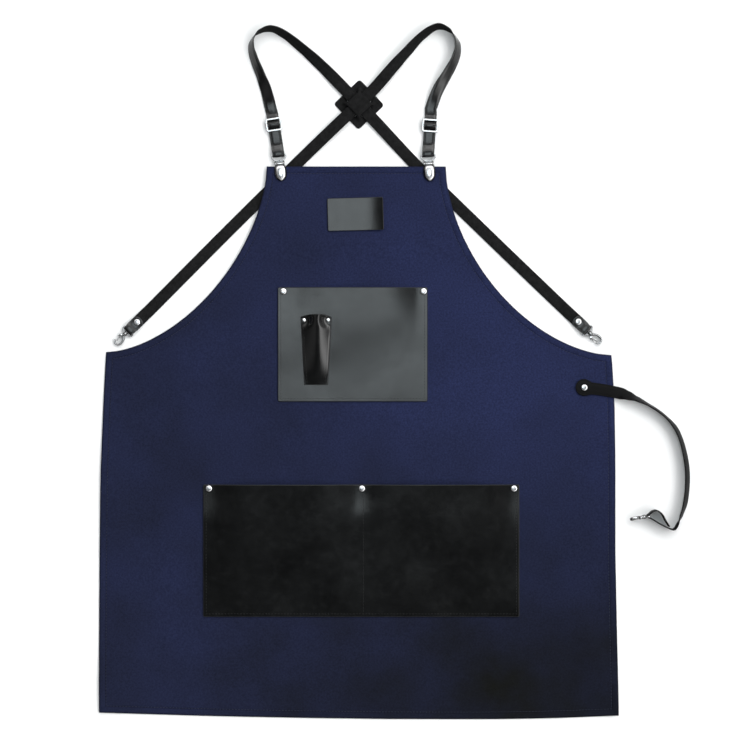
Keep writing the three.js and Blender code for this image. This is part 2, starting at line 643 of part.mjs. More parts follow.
// From the sewn end under a slider, round the bib clip's eye bar and back up through the slider
function loopStations(clip, slider, hand) {
  const bar = vec(clip.x, clip.y, CLIP_BAR_Z);
  const middle = vec(slider.x, slider.y);
  const span = Math.hypot(slider.x - clip.x, slider.y - clip.y);
  const toSlider = vec((slider.x - clip.x) / span, (slider.y - clip.y) / span);
  const clipSide = vec(Math.cos(clip.tilt), Math.sin(clip.tilt)).multiplyScalar(hand);
  const sliderSide = vec(Math.cos(slider.tilt), Math.sin(slider.tilt)).multiplyScalar(hand);
  const clipDown = vec(Math.sin(clip.tilt), -Math.cos(clip.tilt));
  const station = ({ along, z }) => ({
    at: middle.clone().addScaledVector(toSlider, along).setZ(z),
    side: sliderSide.clone().lerp(clipSide, Math.min(1, Math.abs(along) / span)),
    width: STRAP_WIDTH,
  });
  const sewnEnd = [
    { along: 1.6, z: SLIDER_Z - LAYER + STRAP / 2 - 0.2 },
    { along: -1.8, z: SLIDER_Z - LAYER + STRAP / 2 - 0.2 },
    { along: -6, z: STRAP / 2 },
    { along: 8 - span, z: STRAP / 2 },
    { along: 3 - span, z: STRAP / 2 },
  ];
  const comingBack = [
    { along: 4 - span, z: CLIP_BAR_Z + FOLD_RADIUS - 0.3 },
    { along: 10 - span, z: SLIDER_Z + 0.6 },
    { along: 17 - span, z: SLIDER_Z - LAYER + STRAP / 2 + 0.2 },
  ];
  return [
    ...sewnEnd.map(station),
    ...foldStations(bar, clipDown, vec(0, 0, 1), FOLD_RADIUS, clipSide, STRAP_WIDTH),
    ...comingBack.map(station),
    ...WEAVE.map(station),
  ];
}

function tabDirection({ heading }) {
  return vec(Math.cos(heading), Math.sin(heading));
}

function tabRivetSpot(tab) {
  const spot = vec(tab.x, tab.y).addScaledVector(tabDirection(tab), -TAB_RIVET_BACK);
  return { x: spot.x, y: spot.y };
}

// Folded waist end of a shoulder strap, round its hook's eye bar and back on top of itself
function tabStations(tab, hand) {
  const ahead = tabDirection(tab);
  const side = vec(-ahead.y * hand, ahead.x * hand);
  const station = ({ back, z, width }) => ({
    at: vec(tab.x, tab.y, z).addScaledVector(ahead, -back),
    side,
    width,
  });
  return [
    ...TAB_LOW.map(station),
    ...foldStations(vec(tab.x, tab.y, HOOK_BAR_Z), ahead, vec(0, 0, 1), HOOK_FOLD, side, NECK_WIDTH),
    ...TAB_HIGH.map(station),
  ];
}

function shoulderStrap(name, hand) {
  const stations = [
    ...loopStations(CLIP_PLACES[name], SLIDER_PLACES[name], hand),
    ...laidStations(SHOULDER_RUNS[name], hand, 2),
    ...tabStations(TABS[name], hand),
  ];
  return cut(strapBody(stations), rivetHole(RIVET, tabRivetSpot(TABS[name])));
}

function waistStrap() {
  const [first, second] = WAIST_RUN;
  const ahead = vec(second.x - first.x, second.y - first.y).normalize();
  const root = WAIST_ROOT.map(({ along, width }) => ({
    at: vec(WAIST_RIVET.x, WAIST_RIVET.y, WAIST_RISE + STRAP / 2).addScaledVector(ahead, along),
    side: vec(ahead.y, -ahead.x),
    width,
  }));
  const hookAhead = tabDirection(WAIST_HOOK);
  const hookUpward = vec(hookAhead.y, -hookAhead.x);
  const bar = vec(WAIST_HOOK.x, WAIST_HOOK.y, WAIST_BAR_Z);
  const stations = [
    ...root,
    ...laidStations(WAIST_RUN, 1, 2),
    ...foldStations(bar, hookAhead, hookUpward, HOOK_FOLD, vec(0, 0, 1), NECK_WIDTH),
    ...laidStations(WAIST_RETURN, 1, 2),
  ];
  return cut(strapBody(stations), rivetHole(RIVET, WAIST_RIVET));
}

// Chrome fittings

function sliderFrame() {
  const { half, wide, bar, middle, rail, thick, corner } = SLIDER;
  const outline = new THREE.Shape();
  outline.moveTo(wide - corner, -half);
  outline.absarc(wide - corner, corner - half, corner, -Math.PI / 2, 0);
  outline.absarc(wide - corner, half - corner, corner, 0, Math.PI / 2);
  outline.absarc(corner - wide, half - corner, corner, Math.PI / 2, Math.PI);
  outline.absarc(corner - wide, corner - half, corner, Math.PI, 1.5 * Math.PI);
  const slot = (from, to) => new THREE.Path(polygon([
    [rail - wide, from],
    [rail - wide, to],
    [wide - rail, to],
    [wide - rail, from],
  ]));
  outline.holes.push(slot(bar - half, -middle), slot(middle, half - bar));
  return plate(outline, thick, 0.3, 2).translate(0, 0, SLIDER_Z);
}

// Frame of a bib clip: eye for the strap, back plate under the canvas, ears and pin
function clipFrame() {
  const { neck, pin, pinRadius, knuckle, end, plate: backThick, ear, back: backHalf } = CLIP;
  const earIn = KNUCKLE_HALF + GAP;
  const earOut = earIn + ear;
  const eyeOut = STRAP_WIDTH / 2 + 2.3;
  const eyeIn = STRAP_WIDTH / 2 + 0.5;
  const eye = new THREE.Shape(polygon([
    [eyeOut, -3.8], [eyeOut, BAR], [-eyeOut, BAR], [-eyeOut, -3.8],
    [-earOut, -8.6], [-earOut, -neck], [earOut, -neck], [earOut, -8.6],
  ]));
  eye.holes.push(new THREE.Path(polygon([
    [eyeIn, -BAR], [eyeIn, -3.7], [earIn, -7], [-earIn, -7], [-eyeIn, -3.7], [-eyeIn, -BAR],
  ])));
  const back = new THREE.Shape();
  back.moveTo(earOut, -8.6);
  back.lineTo(-earOut, -8.6);
  back.lineTo(-earOut, -pin - 2);
  back.quadraticCurveTo(-backHalf, -pin - 4, -backHalf, -24);
  back.quadraticCurveTo(-backHalf, -end, 0, -end);
  back.quadraticCurveTo(backHalf, -end, backHalf, -24);
  back.quadraticCurveTo(backHalf, -pin - 4, earOut, -pin - 2);
  const pinZ = LAYER + backThick + GAP + knuckle;
  const ears = [-1, 1].flatMap((sign) => {
    const middle = (sign * (earIn + earOut)) / 2;
    const foot = block([middle - ear / 2, middle + ear / 2], [-pin - knuckle, -pin + knuckle], [LAYER, pinZ]);
    return [foot, barX(knuckle, ear / 2, -pin, pinZ).translate(middle, 0, 0)];
  });
  return join(
    plate(eye, 2 * BAR, 0.35).translate(0, 0, CLIP_BAR_Z - BAR),
    plate(back, backThick, 0.2, 3).translate(0, 0, LAYER),
    ...ears,
    barX(pinRadius, earIn + ear / 2, -pin, pinZ),
  );
}

// Jaw of a bib clip: a domed bullet-shaped cover with a knuckle round the frame's pin
function clipJaw() {
  const { pin, pinRadius, knuckle, jaw, plate: backThick } = CLIP;
  const rim = BIB_LIFT + CANVAS + GAP;
  const pinZ = LAYER + backThick + GAP + knuckle;
  const place = (i, j) => {
    const { down, half, crown } = JAW_ROWS[JAW_ROWS.length - 1 - j];
    const across = lerp(-1, 1, i / (JAW_COLUMNS - 1));
    const low = rim + crown * (1 - across ** 2) ** 0.75;
    return { low: vec(across * half, -down, low), high: vec(across * half, -down, low + jaw) };
  };
  const whole = join(
    sheetBody(JAW_COLUMNS, JAW_ROWS.length, place),
    barX(knuckle, KNUCKLE_HALF, -pin, pinZ),
    block([-KNUCKLE_HALF, KNUCKLE_HALF], [-pin - 3.2, -pin - 0.8], [pinZ + 0.3, pinZ + 1.9]),
  );
  return cut(whole, barX(pinRadius + GAP, KNUCKLE_HALF + 1, -pin, pinZ));
}

// Eye of a snap hook, with the collar that its claw turns in
function hookEye() {
  const { bar, wide, inner, shoulder, opening, end, thick } = HOOK_EYE;
  const ring = new THREE.Shape(polygon([
    [wide, -bar], [wide, shoulder], [COLLAR.outer, end], [-COLLAR.outer, end], [-wide, shoulder], [-wide, -bar],
  ]));
  ring.holes.push(new THREE.Path(polygon([
    [inner, bar], [inner, shoulder], [COLLAR.outer, opening], [-COLLAR.outer, opening], [-inner, shoulder], [-inner, bar],
  ])));
  const collarLength = COLLAR.to - COLLAR.from;
  const round = (radius, length) => {
    const bar = new THREE.CylinderGeometry(radius, radius, length, COLLAR.sides);
    return bar.translate(0, COLLAR.from + collarLength / 2, 0);
  };
  const whole = join(plate(ring, thick, 0.3).translate(0, 0, -thick / 2), round(COLLAR.outer, collarLength));
  return cut(whole, round(COLLAR.bore, collarLength + 2));
}

// Claw of a snap hook: a headed stem, a spine with its bow, and a fork with a pin for the gate
function hookClaw() {
  const { neck, neckHalf, thick, bowX, bowY, outer, inner, tip } = CLAW;
  const outline = new THREE.Shape();
  outline.moveTo(neckHalf, neck);
  outline.absarc(PIVOT.x, PIVOT.y, PIVOT.boss, -Math.PI / 4, degToRad(100));
  outline.quadraticCurveTo(bowX - inner, PIVOT.y + 2, bowX - inner, bowY - 2);
  outline.absarc(bowX, bowY, inner, Math.PI, tip, true);
  outline.absarc(bowX, bowY, outer, tip, Math.PI);
  outline.quadraticCurveTo(bowX - outer, PIVOT.y, -neckHalf, neck);
  const { head, from, under, radius, to } = STEM;
  const stem = new THREE.LatheGeometry(polygon([
    [0, from], [head, from], [head, under], [radius, under], [radius, to], [0, to],
  ]), COLLAR.sides);
  const fork = block([-0.6, 7], [PIVOT.y - PIVOT.boss - 0.2, PIVOT.y + 4], [-GATE.slot / 2, GATE.slot / 2]);
  const forked = cut(join(plate(outline, thick, 0.5, 3).translate(0, 0, -thick / 2), stem), fork);
  return join(forked, barZ(PIVOT.pin, 0.4 - thick / 2, thick / 2 - 0.4, PIVOT.x, PIVOT.y));
}

// Gate of a snap hook: a lever from its knuckle to the bow's tip, with a thumb tab
function hookGate() {
  const { endX, endY, endHalf, thick, tabX, tabY } = GATE;
  const outline = new THREE.Shape();
  outline.moveTo(PIVOT.x + 1.2, PIVOT.y + 1.4);
  outline.quadraticCurveTo(tabX, PIVOT.y + 2, tabX, tabY);
  outline.quadraticCurveTo(tabX - 2, tabY + 0.6, tabX - 2.2, tabY + 1.6);
  outline.lineTo(endX + endHalf, endY);
  outline.lineTo(endX - endHalf, endY + 0.3);
  outline.lineTo(PIVOT.x - 1.4, PIVOT.y + 1.2);
  const lever = plate(outline, thick, 0.25, 2).translate(0, 0, -thick / 2);
  const whole = join(lever, barZ(PIVOT.knuckle, -thick / 2, thick / 2, PIVOT.x, PIVOT.y));
  return cut(whole, barZ(PIVOT.bore, -thick, thick, PIVOT.x, PIVOT.y));
}

// Assembly

function piece(name, geometry, finish) {
  const bare = welded(geometry);
  bare.computeVertexNormals();
  const mesh = new THREE.Mesh(bare, new THREE.MeshStandardMaterial(FINISHES[finish]));
  mesh.name = name;
  return mesh;
}

function placed(group, { x, y, tilt }) {
  group.position.set(x, y, 0);
  group.rotation.z = tilt;
  return group;
}

function hook(name, bar, ahead, across) {
  const group = new THREE.Group();
  group.add(
    piece(`hook_eye_${name}`, hookEye(), 'chrome'),
    piece(`hook_claw_${name}`, hookClaw(), 'chrome'),
    piece(`hook_gate_${name}`, hookGate(), 'chrome'),
  );
  group.position.copy(bar);
  group.quaternion.setFromRotationMatrix(new THREE.Matrix4().makeBasis(across, ahead, across.clone().cross(ahead)));
  return group;
}

// Heights of a surface round the edge of a disc
function heightsRound(surface, { x, y }, radius) {
  const angles = Array.from({ length: 8 }, (_, step) => (step * Math.PI) / 4);
  return angles.map((angle) => surface(x + radius * Math.cos(angle), y + radius * Math.sin(angle)));
}

// A rivet through everything between two undersides' lowest and highest points, with its stack on the upper one
function rivetThrough(size, spot, lowerUnderside, upperUnderside, stack) {
  const lowest = Math.min(...heightsRound(lowerUnderside, spot, size.back));
  const highest = Math.max(...heightsRound(upperUnderside, spot, size.cap)) + stack;
  return rivet(size, spot, lowest, highest);
}

function panelRivets() {
  const group = new THREE.Group();
  for (const [name, spot] of Object.entries(CHEST_RIVETS)) {
    const shape = rivetThrough(RIVET, spot, canvasUnder, chestUnder, LEATHER);
    group.add(piece(`chest_rivet_${name}`, shape, 'chrome'));
  }
  for (const [name, spot] of Object.entries(LOWER_RIVETS)) {
    const shape = rivetThrough(RIVET, spot, canvasUnder, lowerUnder, LEATHER);
    group.add(piece(`lower_rivet_${name}`, shape, 'chrome'));
  }
  for (const [name, spot] of Object.entries(SLEEVE_RIVETS)) {
    const shape = rivetThrough(SMALL_RIVET, spot, chestUnder, chestUnder, 2 * LEATHER + SEAT);
    group.add(piece(`sleeve_rivet_${name}`, shape, 'chrome'));
  }
  return group;
}

function strapFittings() {
  const group = new THREE.Group();
  for (const name of ['left', 'right']) {
    const clip = placed(new THREE.Group(), CLIP_PLACES[name]);
    clip.add(
      piece(`bib_clip_frame_${name}`, clipFrame(), 'chrome'),
      piece(`bib_clip_jaw_${name}`, clipJaw(), 'chrome'),
    );
    const slider = placed(new THREE.Group(), SLIDER_PLACES[name]);
    slider.add(piece(`slider_${name}`, sliderFrame(), 'chrome'));
    const tab = TABS[name];
    const ahead = tabDirection(tab);
    const highest = RIVET_LIFT + LAYER + STRAP;
    group.add(
      clip,
      slider,
      piece(`tab_rivet_${tab.hook}`, rivet(RIVET, tabRivetSpot(tab), RIVET_LIFT, highest), 'chrome'),
      hook(tab.hook, vec(tab.x, tab.y, HOOK_BAR_Z), ahead, vec(ahead.y, -ahead.x)),
    );
  }
  const waistBar = vec(WAIST_HOOK.x, WAIST_HOOK.y, WAIST_BAR_Z);
  const waistLow = canvasUnder(WAIST_RIVET.x, WAIST_RIVET.y);
  group.add(
    piece('waist_rivet', rivet(RIVET, WAIST_RIVET, waistLow, WAIST_RISE + STRAP), 'chrome'),
    hook('waist', waistBar, tabDirection(WAIST_HOOK), vec(0, 0, 1)),
  );
  return group;
}

function straps() {
  const group = new THREE.Group();
  const patch = piece('cross_patch', crossPatch(), 'strapLeather');
  patch.position.set(PATCH.x, PATCH.y, 0);
  patch.rotation.z = PATCH.turn;
  group.add(
    piece('shoulder_strap_left', shoulderStrap('left', 1), 'strapLeather'),
    piece('shoulder_strap_right', shoulderStrap('right', -1), 'strapLeather'),
    piece('waist_strap', waistStrap(), 'strapLeather'),
    patch,
  );
  return group;
}

const apron = new THREE.Group();
apron.add(
  piece('apron_body', apronBody(), 'canvas'),
  piece('label_patch', labelPatch(), 'pocketLeather'),
  piece('chest_pocket', chestPocket(), 'pocketLeather'),
  piece('scissor_sleeve', scissorSleeve(), 'pocketLeather'),
  piece('lower_pocket', lowerPocket(), 'pocketLeather'),
  panelRivets(),
  straps(),
  strapFittings(),
);

// The origin is the middle of the apron's box on the floor
const box = new THREE.Box3().setFromObject(apron, true);
apron.position.set(-(box.min.x + box.max.x) / 2, -(box.min.y + box.max.y) / 2, -box.min.z);

export default apron;
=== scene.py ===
"""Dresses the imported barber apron: navy canvas, black leather and bright fittings on a pale floor."""
import json
import math

import bmesh
import bpy
from bpy.props import FloatProperty, FloatVectorProperty, IntProperty, PointerProperty
from bpy.types import Operator, Panel, PropertyGroup
from mathutils import Matrix, Vector, noise


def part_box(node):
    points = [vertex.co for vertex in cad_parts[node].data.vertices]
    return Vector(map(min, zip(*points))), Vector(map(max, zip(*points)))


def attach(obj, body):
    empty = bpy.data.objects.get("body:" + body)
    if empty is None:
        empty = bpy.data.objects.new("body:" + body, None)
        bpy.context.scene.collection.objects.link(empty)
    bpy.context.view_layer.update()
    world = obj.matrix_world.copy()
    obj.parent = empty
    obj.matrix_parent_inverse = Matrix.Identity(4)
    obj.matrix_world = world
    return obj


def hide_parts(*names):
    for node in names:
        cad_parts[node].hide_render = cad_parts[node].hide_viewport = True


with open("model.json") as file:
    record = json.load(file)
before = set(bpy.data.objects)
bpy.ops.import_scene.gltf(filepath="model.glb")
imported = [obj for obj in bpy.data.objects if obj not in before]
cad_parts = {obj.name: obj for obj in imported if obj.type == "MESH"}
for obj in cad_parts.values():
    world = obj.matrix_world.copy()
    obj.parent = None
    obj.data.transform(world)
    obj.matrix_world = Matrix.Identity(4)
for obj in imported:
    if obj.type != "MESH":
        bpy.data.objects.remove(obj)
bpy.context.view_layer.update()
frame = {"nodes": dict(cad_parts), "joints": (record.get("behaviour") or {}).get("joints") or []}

bl_info = {
    "name": "Barber Apron",
    "version": (1, 0, 0),
    "blender": (4, 5, 0),
    "location": "3D View > Sidebar > Apron",
    "description": "Builds a canvas barber apron with leather pockets and straps around its packed frame",
    "category": "Add Mesh",
}

UP = Vector((0, 0, 1))
MAIN_BODY = "apron"

# Walls and clearances
CANVAS = 0.0012
LEATHER = 0.0014
STRAP = 0.0016
STRAP_WIDTH = 0.016
GAP = 0.0003
SEAT = 0.00045
LAYER = STRAP + GAP
FLOOR_GAP = 0.00015

# Canvas outline
APRON_LENGTH = 0.742
WAIST_HEIGHT = 0.491
WAIST_TILT = -0.006
HEM_HALF = 0.349
BIB_HALF = 0.120
BIB_SHIFT = -0.003
ARMHOLE_POWERS = {-1: 1.69, 1: 1.75}
HEM_LOWEST_X = 0.150
HEM_RISE_LEFT = 0.009
HEM_RISE_RIGHT = 0.005
# Points along the edges; an armhole has none close to its corners, so that the hem can be inset
HEM_STEPS = 48
SIDE_STEPS = 34
BIB_STEPS = 15
ARMHOLE_STEPS = 60
ARMHOLE_BARE_STEPS = 4
# Side edges of the skirt, which wave a little: height, left distance and right distance from the hem's middle
SIDES = (
    (0.0, 0.3484, 0.3496),
    (0.110, 0.3484, 0.3474),
    (0.220, 0.3478, 0.3452),
    (0.330, 0.3462, 0.3452),
    (0.420, 0.3428, 0.3440),
    (0.460, 0.3409, 0.3420),
    (WAIST_HEIGHT, 0.3390, 0.3396),
)

# The apron's own frame, in metres: x from the hem's middle, y from the hem's lowest point, z from the floor
BODY_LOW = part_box("apron_body")[0]
ORIGIN = Vector((BODY_LOW.x + SIDES[0][1], BODY_LOW.y, BODY_LOW.z))

# Soft folds of the canvas: x, y, angle of the ridge, length, width, height
FOLDS = (
    (0.322, 0.474, 12, 0.034, 0.011, 0.0022),
    (0.334, 0.352, 80, 0.036, 0.016, 0.0018),
    (-0.334, 0.300, 95, 0.090, 0.018, 0.0020),
    (-0.330, 0.060, 60, 0.060, 0.024, 0.0026),
    (0.040, 0.040, 85, 0.036, 0.034, 0.0018),
    (0.325, 0.070, 115, 0.070, 0.022, 0.0030),
)

# Faint waves of lying cloth and of hide: frequency across and up, slice of the noise, and height
CLOTH_WAVES = ((8.0, 8.0, 0.7, 0.00035), (26.0, 17.0, 3.1, 0.00012))
HIDE_WAVES = ((11.0, 14.0, 5.0, 0.0006), (27.0, 31.0, 9.0, 0.00012))
STIFF_NEAR = 0.006
LOOSE_FROM = 0.040

# Rivet spots, and the low hills that the canvas makes over their back plates
RIVET_LIFT = 0.0008
HILL_FLAT = 0.030
HILL_FOOT = 0.120
CHEST_POSTS = ((-0.1008, 0.5746), (0.0874, 0.5746))
LOWER_POSTS = ((-0.2007, 0.310), (0.0046, 0.310), (0.2087, 0.310))
WAIST_POST = (0.303, 0.4455)
BIB_LIFT = 0.0032
BIB_LIFT_START = 0.560
BIB_LIFT_FULL = 0.690

# Leather panels: left, right, bottom, top, slack, and how gently the slack starts at the left
CHEST = {"left": -0.1082, "right": 0.0927, "bottom": 0.4267, "top": 0.5799, "slack": 0.004, "flare": 2}
LOWER = {"left": -0.2083, "right": 0.2159, "bottom": 0.1378, "top": 0.3152, "slack": 0.006, "flare": 1}
LOWER_SEAM = {"shift": 0.002, "top": 0.012}
POST_MARGIN = 0.007
SLACK_POWER = 1.5
PANEL_CORNER = 0.002
LABEL = {
    "x": -0.004, "y": 0.678, "width": 0.075, "height": 0.044, "turn": math.radians(1.5),
    "cell": 0.005, "waves": 0.5,
}
LABEL_CURL = {"from": 0.008, "over": 0.0295, "lift": 0.0032}
SLEEVE = {
    "x": -0.0569, "bottom": 0.449, "top": 0.5405, "half_bottom": 0.016, "half_top": 0.0208,
    "arch": 0.0032, "flat_width": 0.052, "stitch_top": 0.014, "cell": 0.0024, "waves": 0.2,
}
SLEEVE_ARCH_STEPS = 20
SLEEVE_TUBE = {
    "share": 0.95, "low": 0.001, "high": 0.011, "power": 1.45, "crest": 0.13,
    "pinched": 0.0036, "free": 0.0135,
}
SLEEVE_SLACK = 0.008
SLEEVE_PACKING = 0.0018
SLEEVE_POSTS = ((-0.0728, 0.536), (-0.0406, 0.536))
POSTS = (*CHEST_POSTS, *LOWER_POSTS, WAIST_POST)

# Bands of a sewn edge, from the edge inwards: width of the band, relief of its inner line and its darkness,
# which paints shade along the canvas's rolled edge and stitch groove
CANVAS_BANDS = (
    (0.0, -0.0007, 1.0),
    (0.0008, -0.0001, 0.9),
    (0.0014, 0.0003, 0.45),
    (0.0012, 0.0003, 0.0),
    (0.0055, 0.0003, 0.0),
    (0.0006, -0.0003, 0.7),
    (0.0006, 0.0, 0.25),
    (0.0014, 0.0, 0.0),
)
CANVAS_STITCH_LINE = 0.0095
# On leather the darkness is the lip's dark cut edge with a painted contact shadow along it
LEATHER_BANDS = (
    (0.0, -0.0007, 1.0),
    (0.0004, -0.00025, 0.9),
    (0.0004, 0.0, 0.6),
    (0.0004, 0.0, 0.0),
)
LEATHER_STITCH_LINE = 0.0039

# Strap section: half width, half thickness, and a crease line near each edge
STRAP_SECTION = (
    (0.0080, 0.00030),
    (0.0078, 0.00062),
    (0.0074, 0.00080),
    (0.0066, 0.00082),
    (0.0063, 0.00068),
    (0.0060, 0.00082),
    (0.0030, 0.00088),
)

# Rivets: cap radius and dome height, and the shares of that radius that back plate and post have
SMALL_RIVET = (0.0028, 0.0015)
LARGE_RIVET = (0.0047, 0.0023)
RIVET_BACK_SHARE = 0.88
RIVET_POST_SHARE = 0.34
RIVET_BACK_WALL = 0.0005
# Cap of a rivet: share of its radius and share of its height
RIVET_CAP = ((1.0, 0.15), (0.985, 0.36), (0.93, 0.62), (0.83, 0.80), (0.66, 0.925), (0.42, 0.985), (0.0, 1.0))

# Sections of the fittings' bars: half width, half height, sides, and a power that squares it below 1
SECTIONS = {
    "slider_rim": (0.0012, 0.0008, 20, 0.5),
    "slider_bar": (0.0011, 0.0007, 20, 0.5),
    "clip_eye": (0.0009, 0.0010, 12, 0.8),
    "clip_ear": (0.0006, 0.0012, 10, 0.7),
    "clip_tongue": (0.0060, 0.0005, 16, 0.5),
    "clip_plate": (1.0, 0.0005, 16, 0.5),
    "jaw_web": (0.0043, 0.0006, 16, 0.5),
    "hook_eye": (0.0009, 0.0010, 12, 0.9),
    "claw": (0.0012, 0.0019, 16, 0.8),
    "claw_arm": (0.0015, 0.00035, 12, 0.6),
    "gate": (0.0009, 0.0009, 14, 0.8),
    "gate_tab": (0.0005, 0.0009, 12, 0.8),
}
ROD_SIDES = 20
ROD_ROUNDING = 0.0002
ROD_RIM_ANGLE = 1.2

# Bib clips and sliders
FOLD_RADIUS = 0.0025
CLIP_BAR_Z = STRAP / 2 + FOLD_RADIUS
CLIP_PIN = Vector((0, -0.0124, 0.0049))
SLIDER_TILTS = {"left": math.radians(9), "right": math.radians(-4)}
SLIDER_Z = 2 * LAYER
SLIDER = {"half_width": 0.0098, "half_length": 0.0077, "corner": 0.0018, "corner_steps": 5}
# Frame of a bib clip: ring of its eye, then distance and height of its tongue, and width of its plate
CLIP_EYE = (
    (0.0094, -0.0038), (0.0094, -0.0006), (0.0088, 0), (-0.0088, 0),
    (-0.0094, -0.0006), (-0.0094, -0.0038), (-0.0055, -0.0078), (0.0055, -0.0078),
)
CLIP_TONGUE = ((-0.0074, 0.0032), (-0.0096, 0.0030), (-0.0110, 0.0026), (-0.0125, 0.0024))
CLIP_PLATE = (
    (-0.0120, 0.0060), (-0.0165, 0.0072), (-0.0240, 0.0075),
    (-0.0300, 0.0064), (-0.0340, 0.0040), (-0.0356, 0.0016),
)
CLIP_PLATE_Z = 0.0024
# Pin, knuckle and ears of a bib clip: reach to each side of its middle, radius, and place from the pin
CLIP_PIN_ROD = {"half": 0.0066, "radius": 0.00075}
CLIP_KNUCKLE = {"half": 0.0044, "radius": 0.0017, "rounding": 0.0003}
CLIP_EAR = {"inner": 0.0047, "outer": 0.0062, "x": 0.00545}
CLIP_EAR_LINE = ((0.0030, -0.0019), (0.0, -0.0005))
JAW_WEB_LINE = ((-0.0006, 0.0012), (-0.0030, 0.0014))
# Jaw of a bib clip: distance from the eye bar, half width and crown height over its rim
JAW_ROWS = (
    (0.0146, 0.0064, 0.0022),
    (0.0170, 0.0076, 0.0034),
    (0.0200, 0.0081, 0.0040),
    (0.0240, 0.0082, 0.0042),
    (0.0280, 0.0079, 0.0040),
    (0.0315, 0.0067, 0.0034),
    (0.0342, 0.0044, 0.0024),
    (0.0358, 0.0020, 0.0015),
)
JAW_STEPS = 4
JAW_STEPS_ACROSS = 16
JAW_DOME_POWERS = (2.6, 0.6)
JAW_RIM = BIB_LIFT + CANVAS + GAP
JAW_WALL = 0.001
# Boss on the jaw: radius and height, and its foot
JAW_BOSS = ((0.0013, 0), (0.0013, 0.0003), (0.0009, 0.0007), (0, 0.0009))
JAW_BOSS_FOOT = (0, -0.0310, JAW_RIM + JAW_WALL + 0.0031)

# Strap height through a slider, along the strap from the slider's middle
UNDER_BAR_Z = SLIDER_Z - LAYER + STRAP / 2
WEAVE = (
    (-0.0096, UNDER_BAR_Z),
    (-0.0059, UNDER_BAR_Z),
    (-0.0037, SLIDER_Z + 0.0009),
    (-0.0016, SLIDER_Z + 0.0029),
    (0.0, SLIDER_Z + 0.0032),
    (0.0016, SLIDER_Z + 0.0029),
    (0.0037, SLIDER_Z + 0.0009),
    (0.0059, UNDER_BAR_Z),
    (0.0096, SLIDER_Z - 0.0016),
    (0.0150, STRAP / 2 + 0.0002),
)

# Shoulder straps past their sliders: x, y, roll from face up in degrees, and rise of the lower edge
SHOULDER_RUNS = {
    "left": (
        (-0.1180, 0.8210, 2, 0.0),
        (-0.1240, 0.8450, 22, 0.0),
        (-0.1320, 0.8665, 42, 0.0),
        (-0.1405, 0.8880, 50, 0.0),
        (-0.1438, 0.9030, 60, 0.0),
        (-0.1405, 0.9150, 78, 0.0),
        (-0.1310, 0.9232, 98, 0.0),
        (-0.1173, 0.9264, 112, 0.0),
        (-0.1013, 0.9201, 122, 0.0),
        (-0.0760, 0.9007, 134, 0.0),
        (-0.0520, 0.8794, 152, 0.0),
        (-0.0220, 0.8495, 180, LAYER),
        (0.0007, 0.8256, 180, LAYER),
        (0.0240, 0.8010, 180, LAYER),
        (0.0760, 0.7455, 180, 0.0),
        (0.1667, 0.6565, 180, 0.0),
        (0.2760, 0.5516, 180, 0.0),
        (0.2924, 0.5362, 180, RIVET_LIFT),
    ),
    "right": (
        (0.0970, 0.8200, 2, 0.0),
        (0.1066, 0.8450, 16, 0.0),
        (0.1193, 0.8665, 36, 0.0),
        (0.1305, 0.8880, 50, 0.0),
        (0.1333, 0.9040, 60, 0.0),
        (0.1290, 0.9165, 78, 0.0),
        (0.1195, 0.9258, 98, 0.0),
        (0.1060, 0.9293, 112, 0.0),
        (0.0860, 0.9175, 124, 0.0),
        (0.0642, 0.8950, 138, 0.0),
        (0.0470, 0.8760, 156, LAYER),
        (0.0232, 0.8486, 180, 2 * LAYER),
        (0.0007, 0.8256, 180, 2 * LAYER),
        (-0.0230, 0.8034, 180, 2 * LAYER),
        (-0.0825, 0.7466, 180, 0.0),
        (-0.1740, 0.6565, 180, 0.0),
        (-0.2790, 0.5509, 180, 0.0),
        (-0.2946, 0.5356, 180, RIVET_LIFT),
    ),
}
HANDS = {"left": 1, "right": -1}

# Folded waist ends of the shoulder straps: distance back from the hook's bar, height and width
NECK_WIDTH = 0.014
HOOK_FOLD = 0.0024
FOLD_STEPS = 12
HOOK_BAR_Z = STRAP / 2 + HOOK_FOLD
TAB_HOOKS = {"left": "right", "right": "left"}
TAB_TOP = RIVET_LIFT + LAYER + STRAP / 2
TAB_LOW_ROWS = (
    (0.0155, RIVET_LIFT + STRAP / 2, STRAP_WIDTH),
    (0.0090, STRAP / 2 + 0.0004, STRAP_WIDTH),
    (0.0040, STRAP / 2, 0.015),
)
TAB_HIGH_ROWS = (
    (0.0040, HOOK_BAR_Z + HOOK_FOLD - 0.0004, 0.0150),
    (0.0085, TAB_TOP + 0.0004, STRAP_WIDTH),
    (0.0125, TAB_TOP, STRAP_WIDTH),
    (0.0165, TAB_TOP, STRAP_WIDTH),
    (0.0188, TAB_TOP, 0.0148),
    (0.0206, TAB_TOP, 0.0120),
    (0.0218, TAB_TOP, 0.0085),
    (0.0223, TAB_TOP, 0.0050),
)

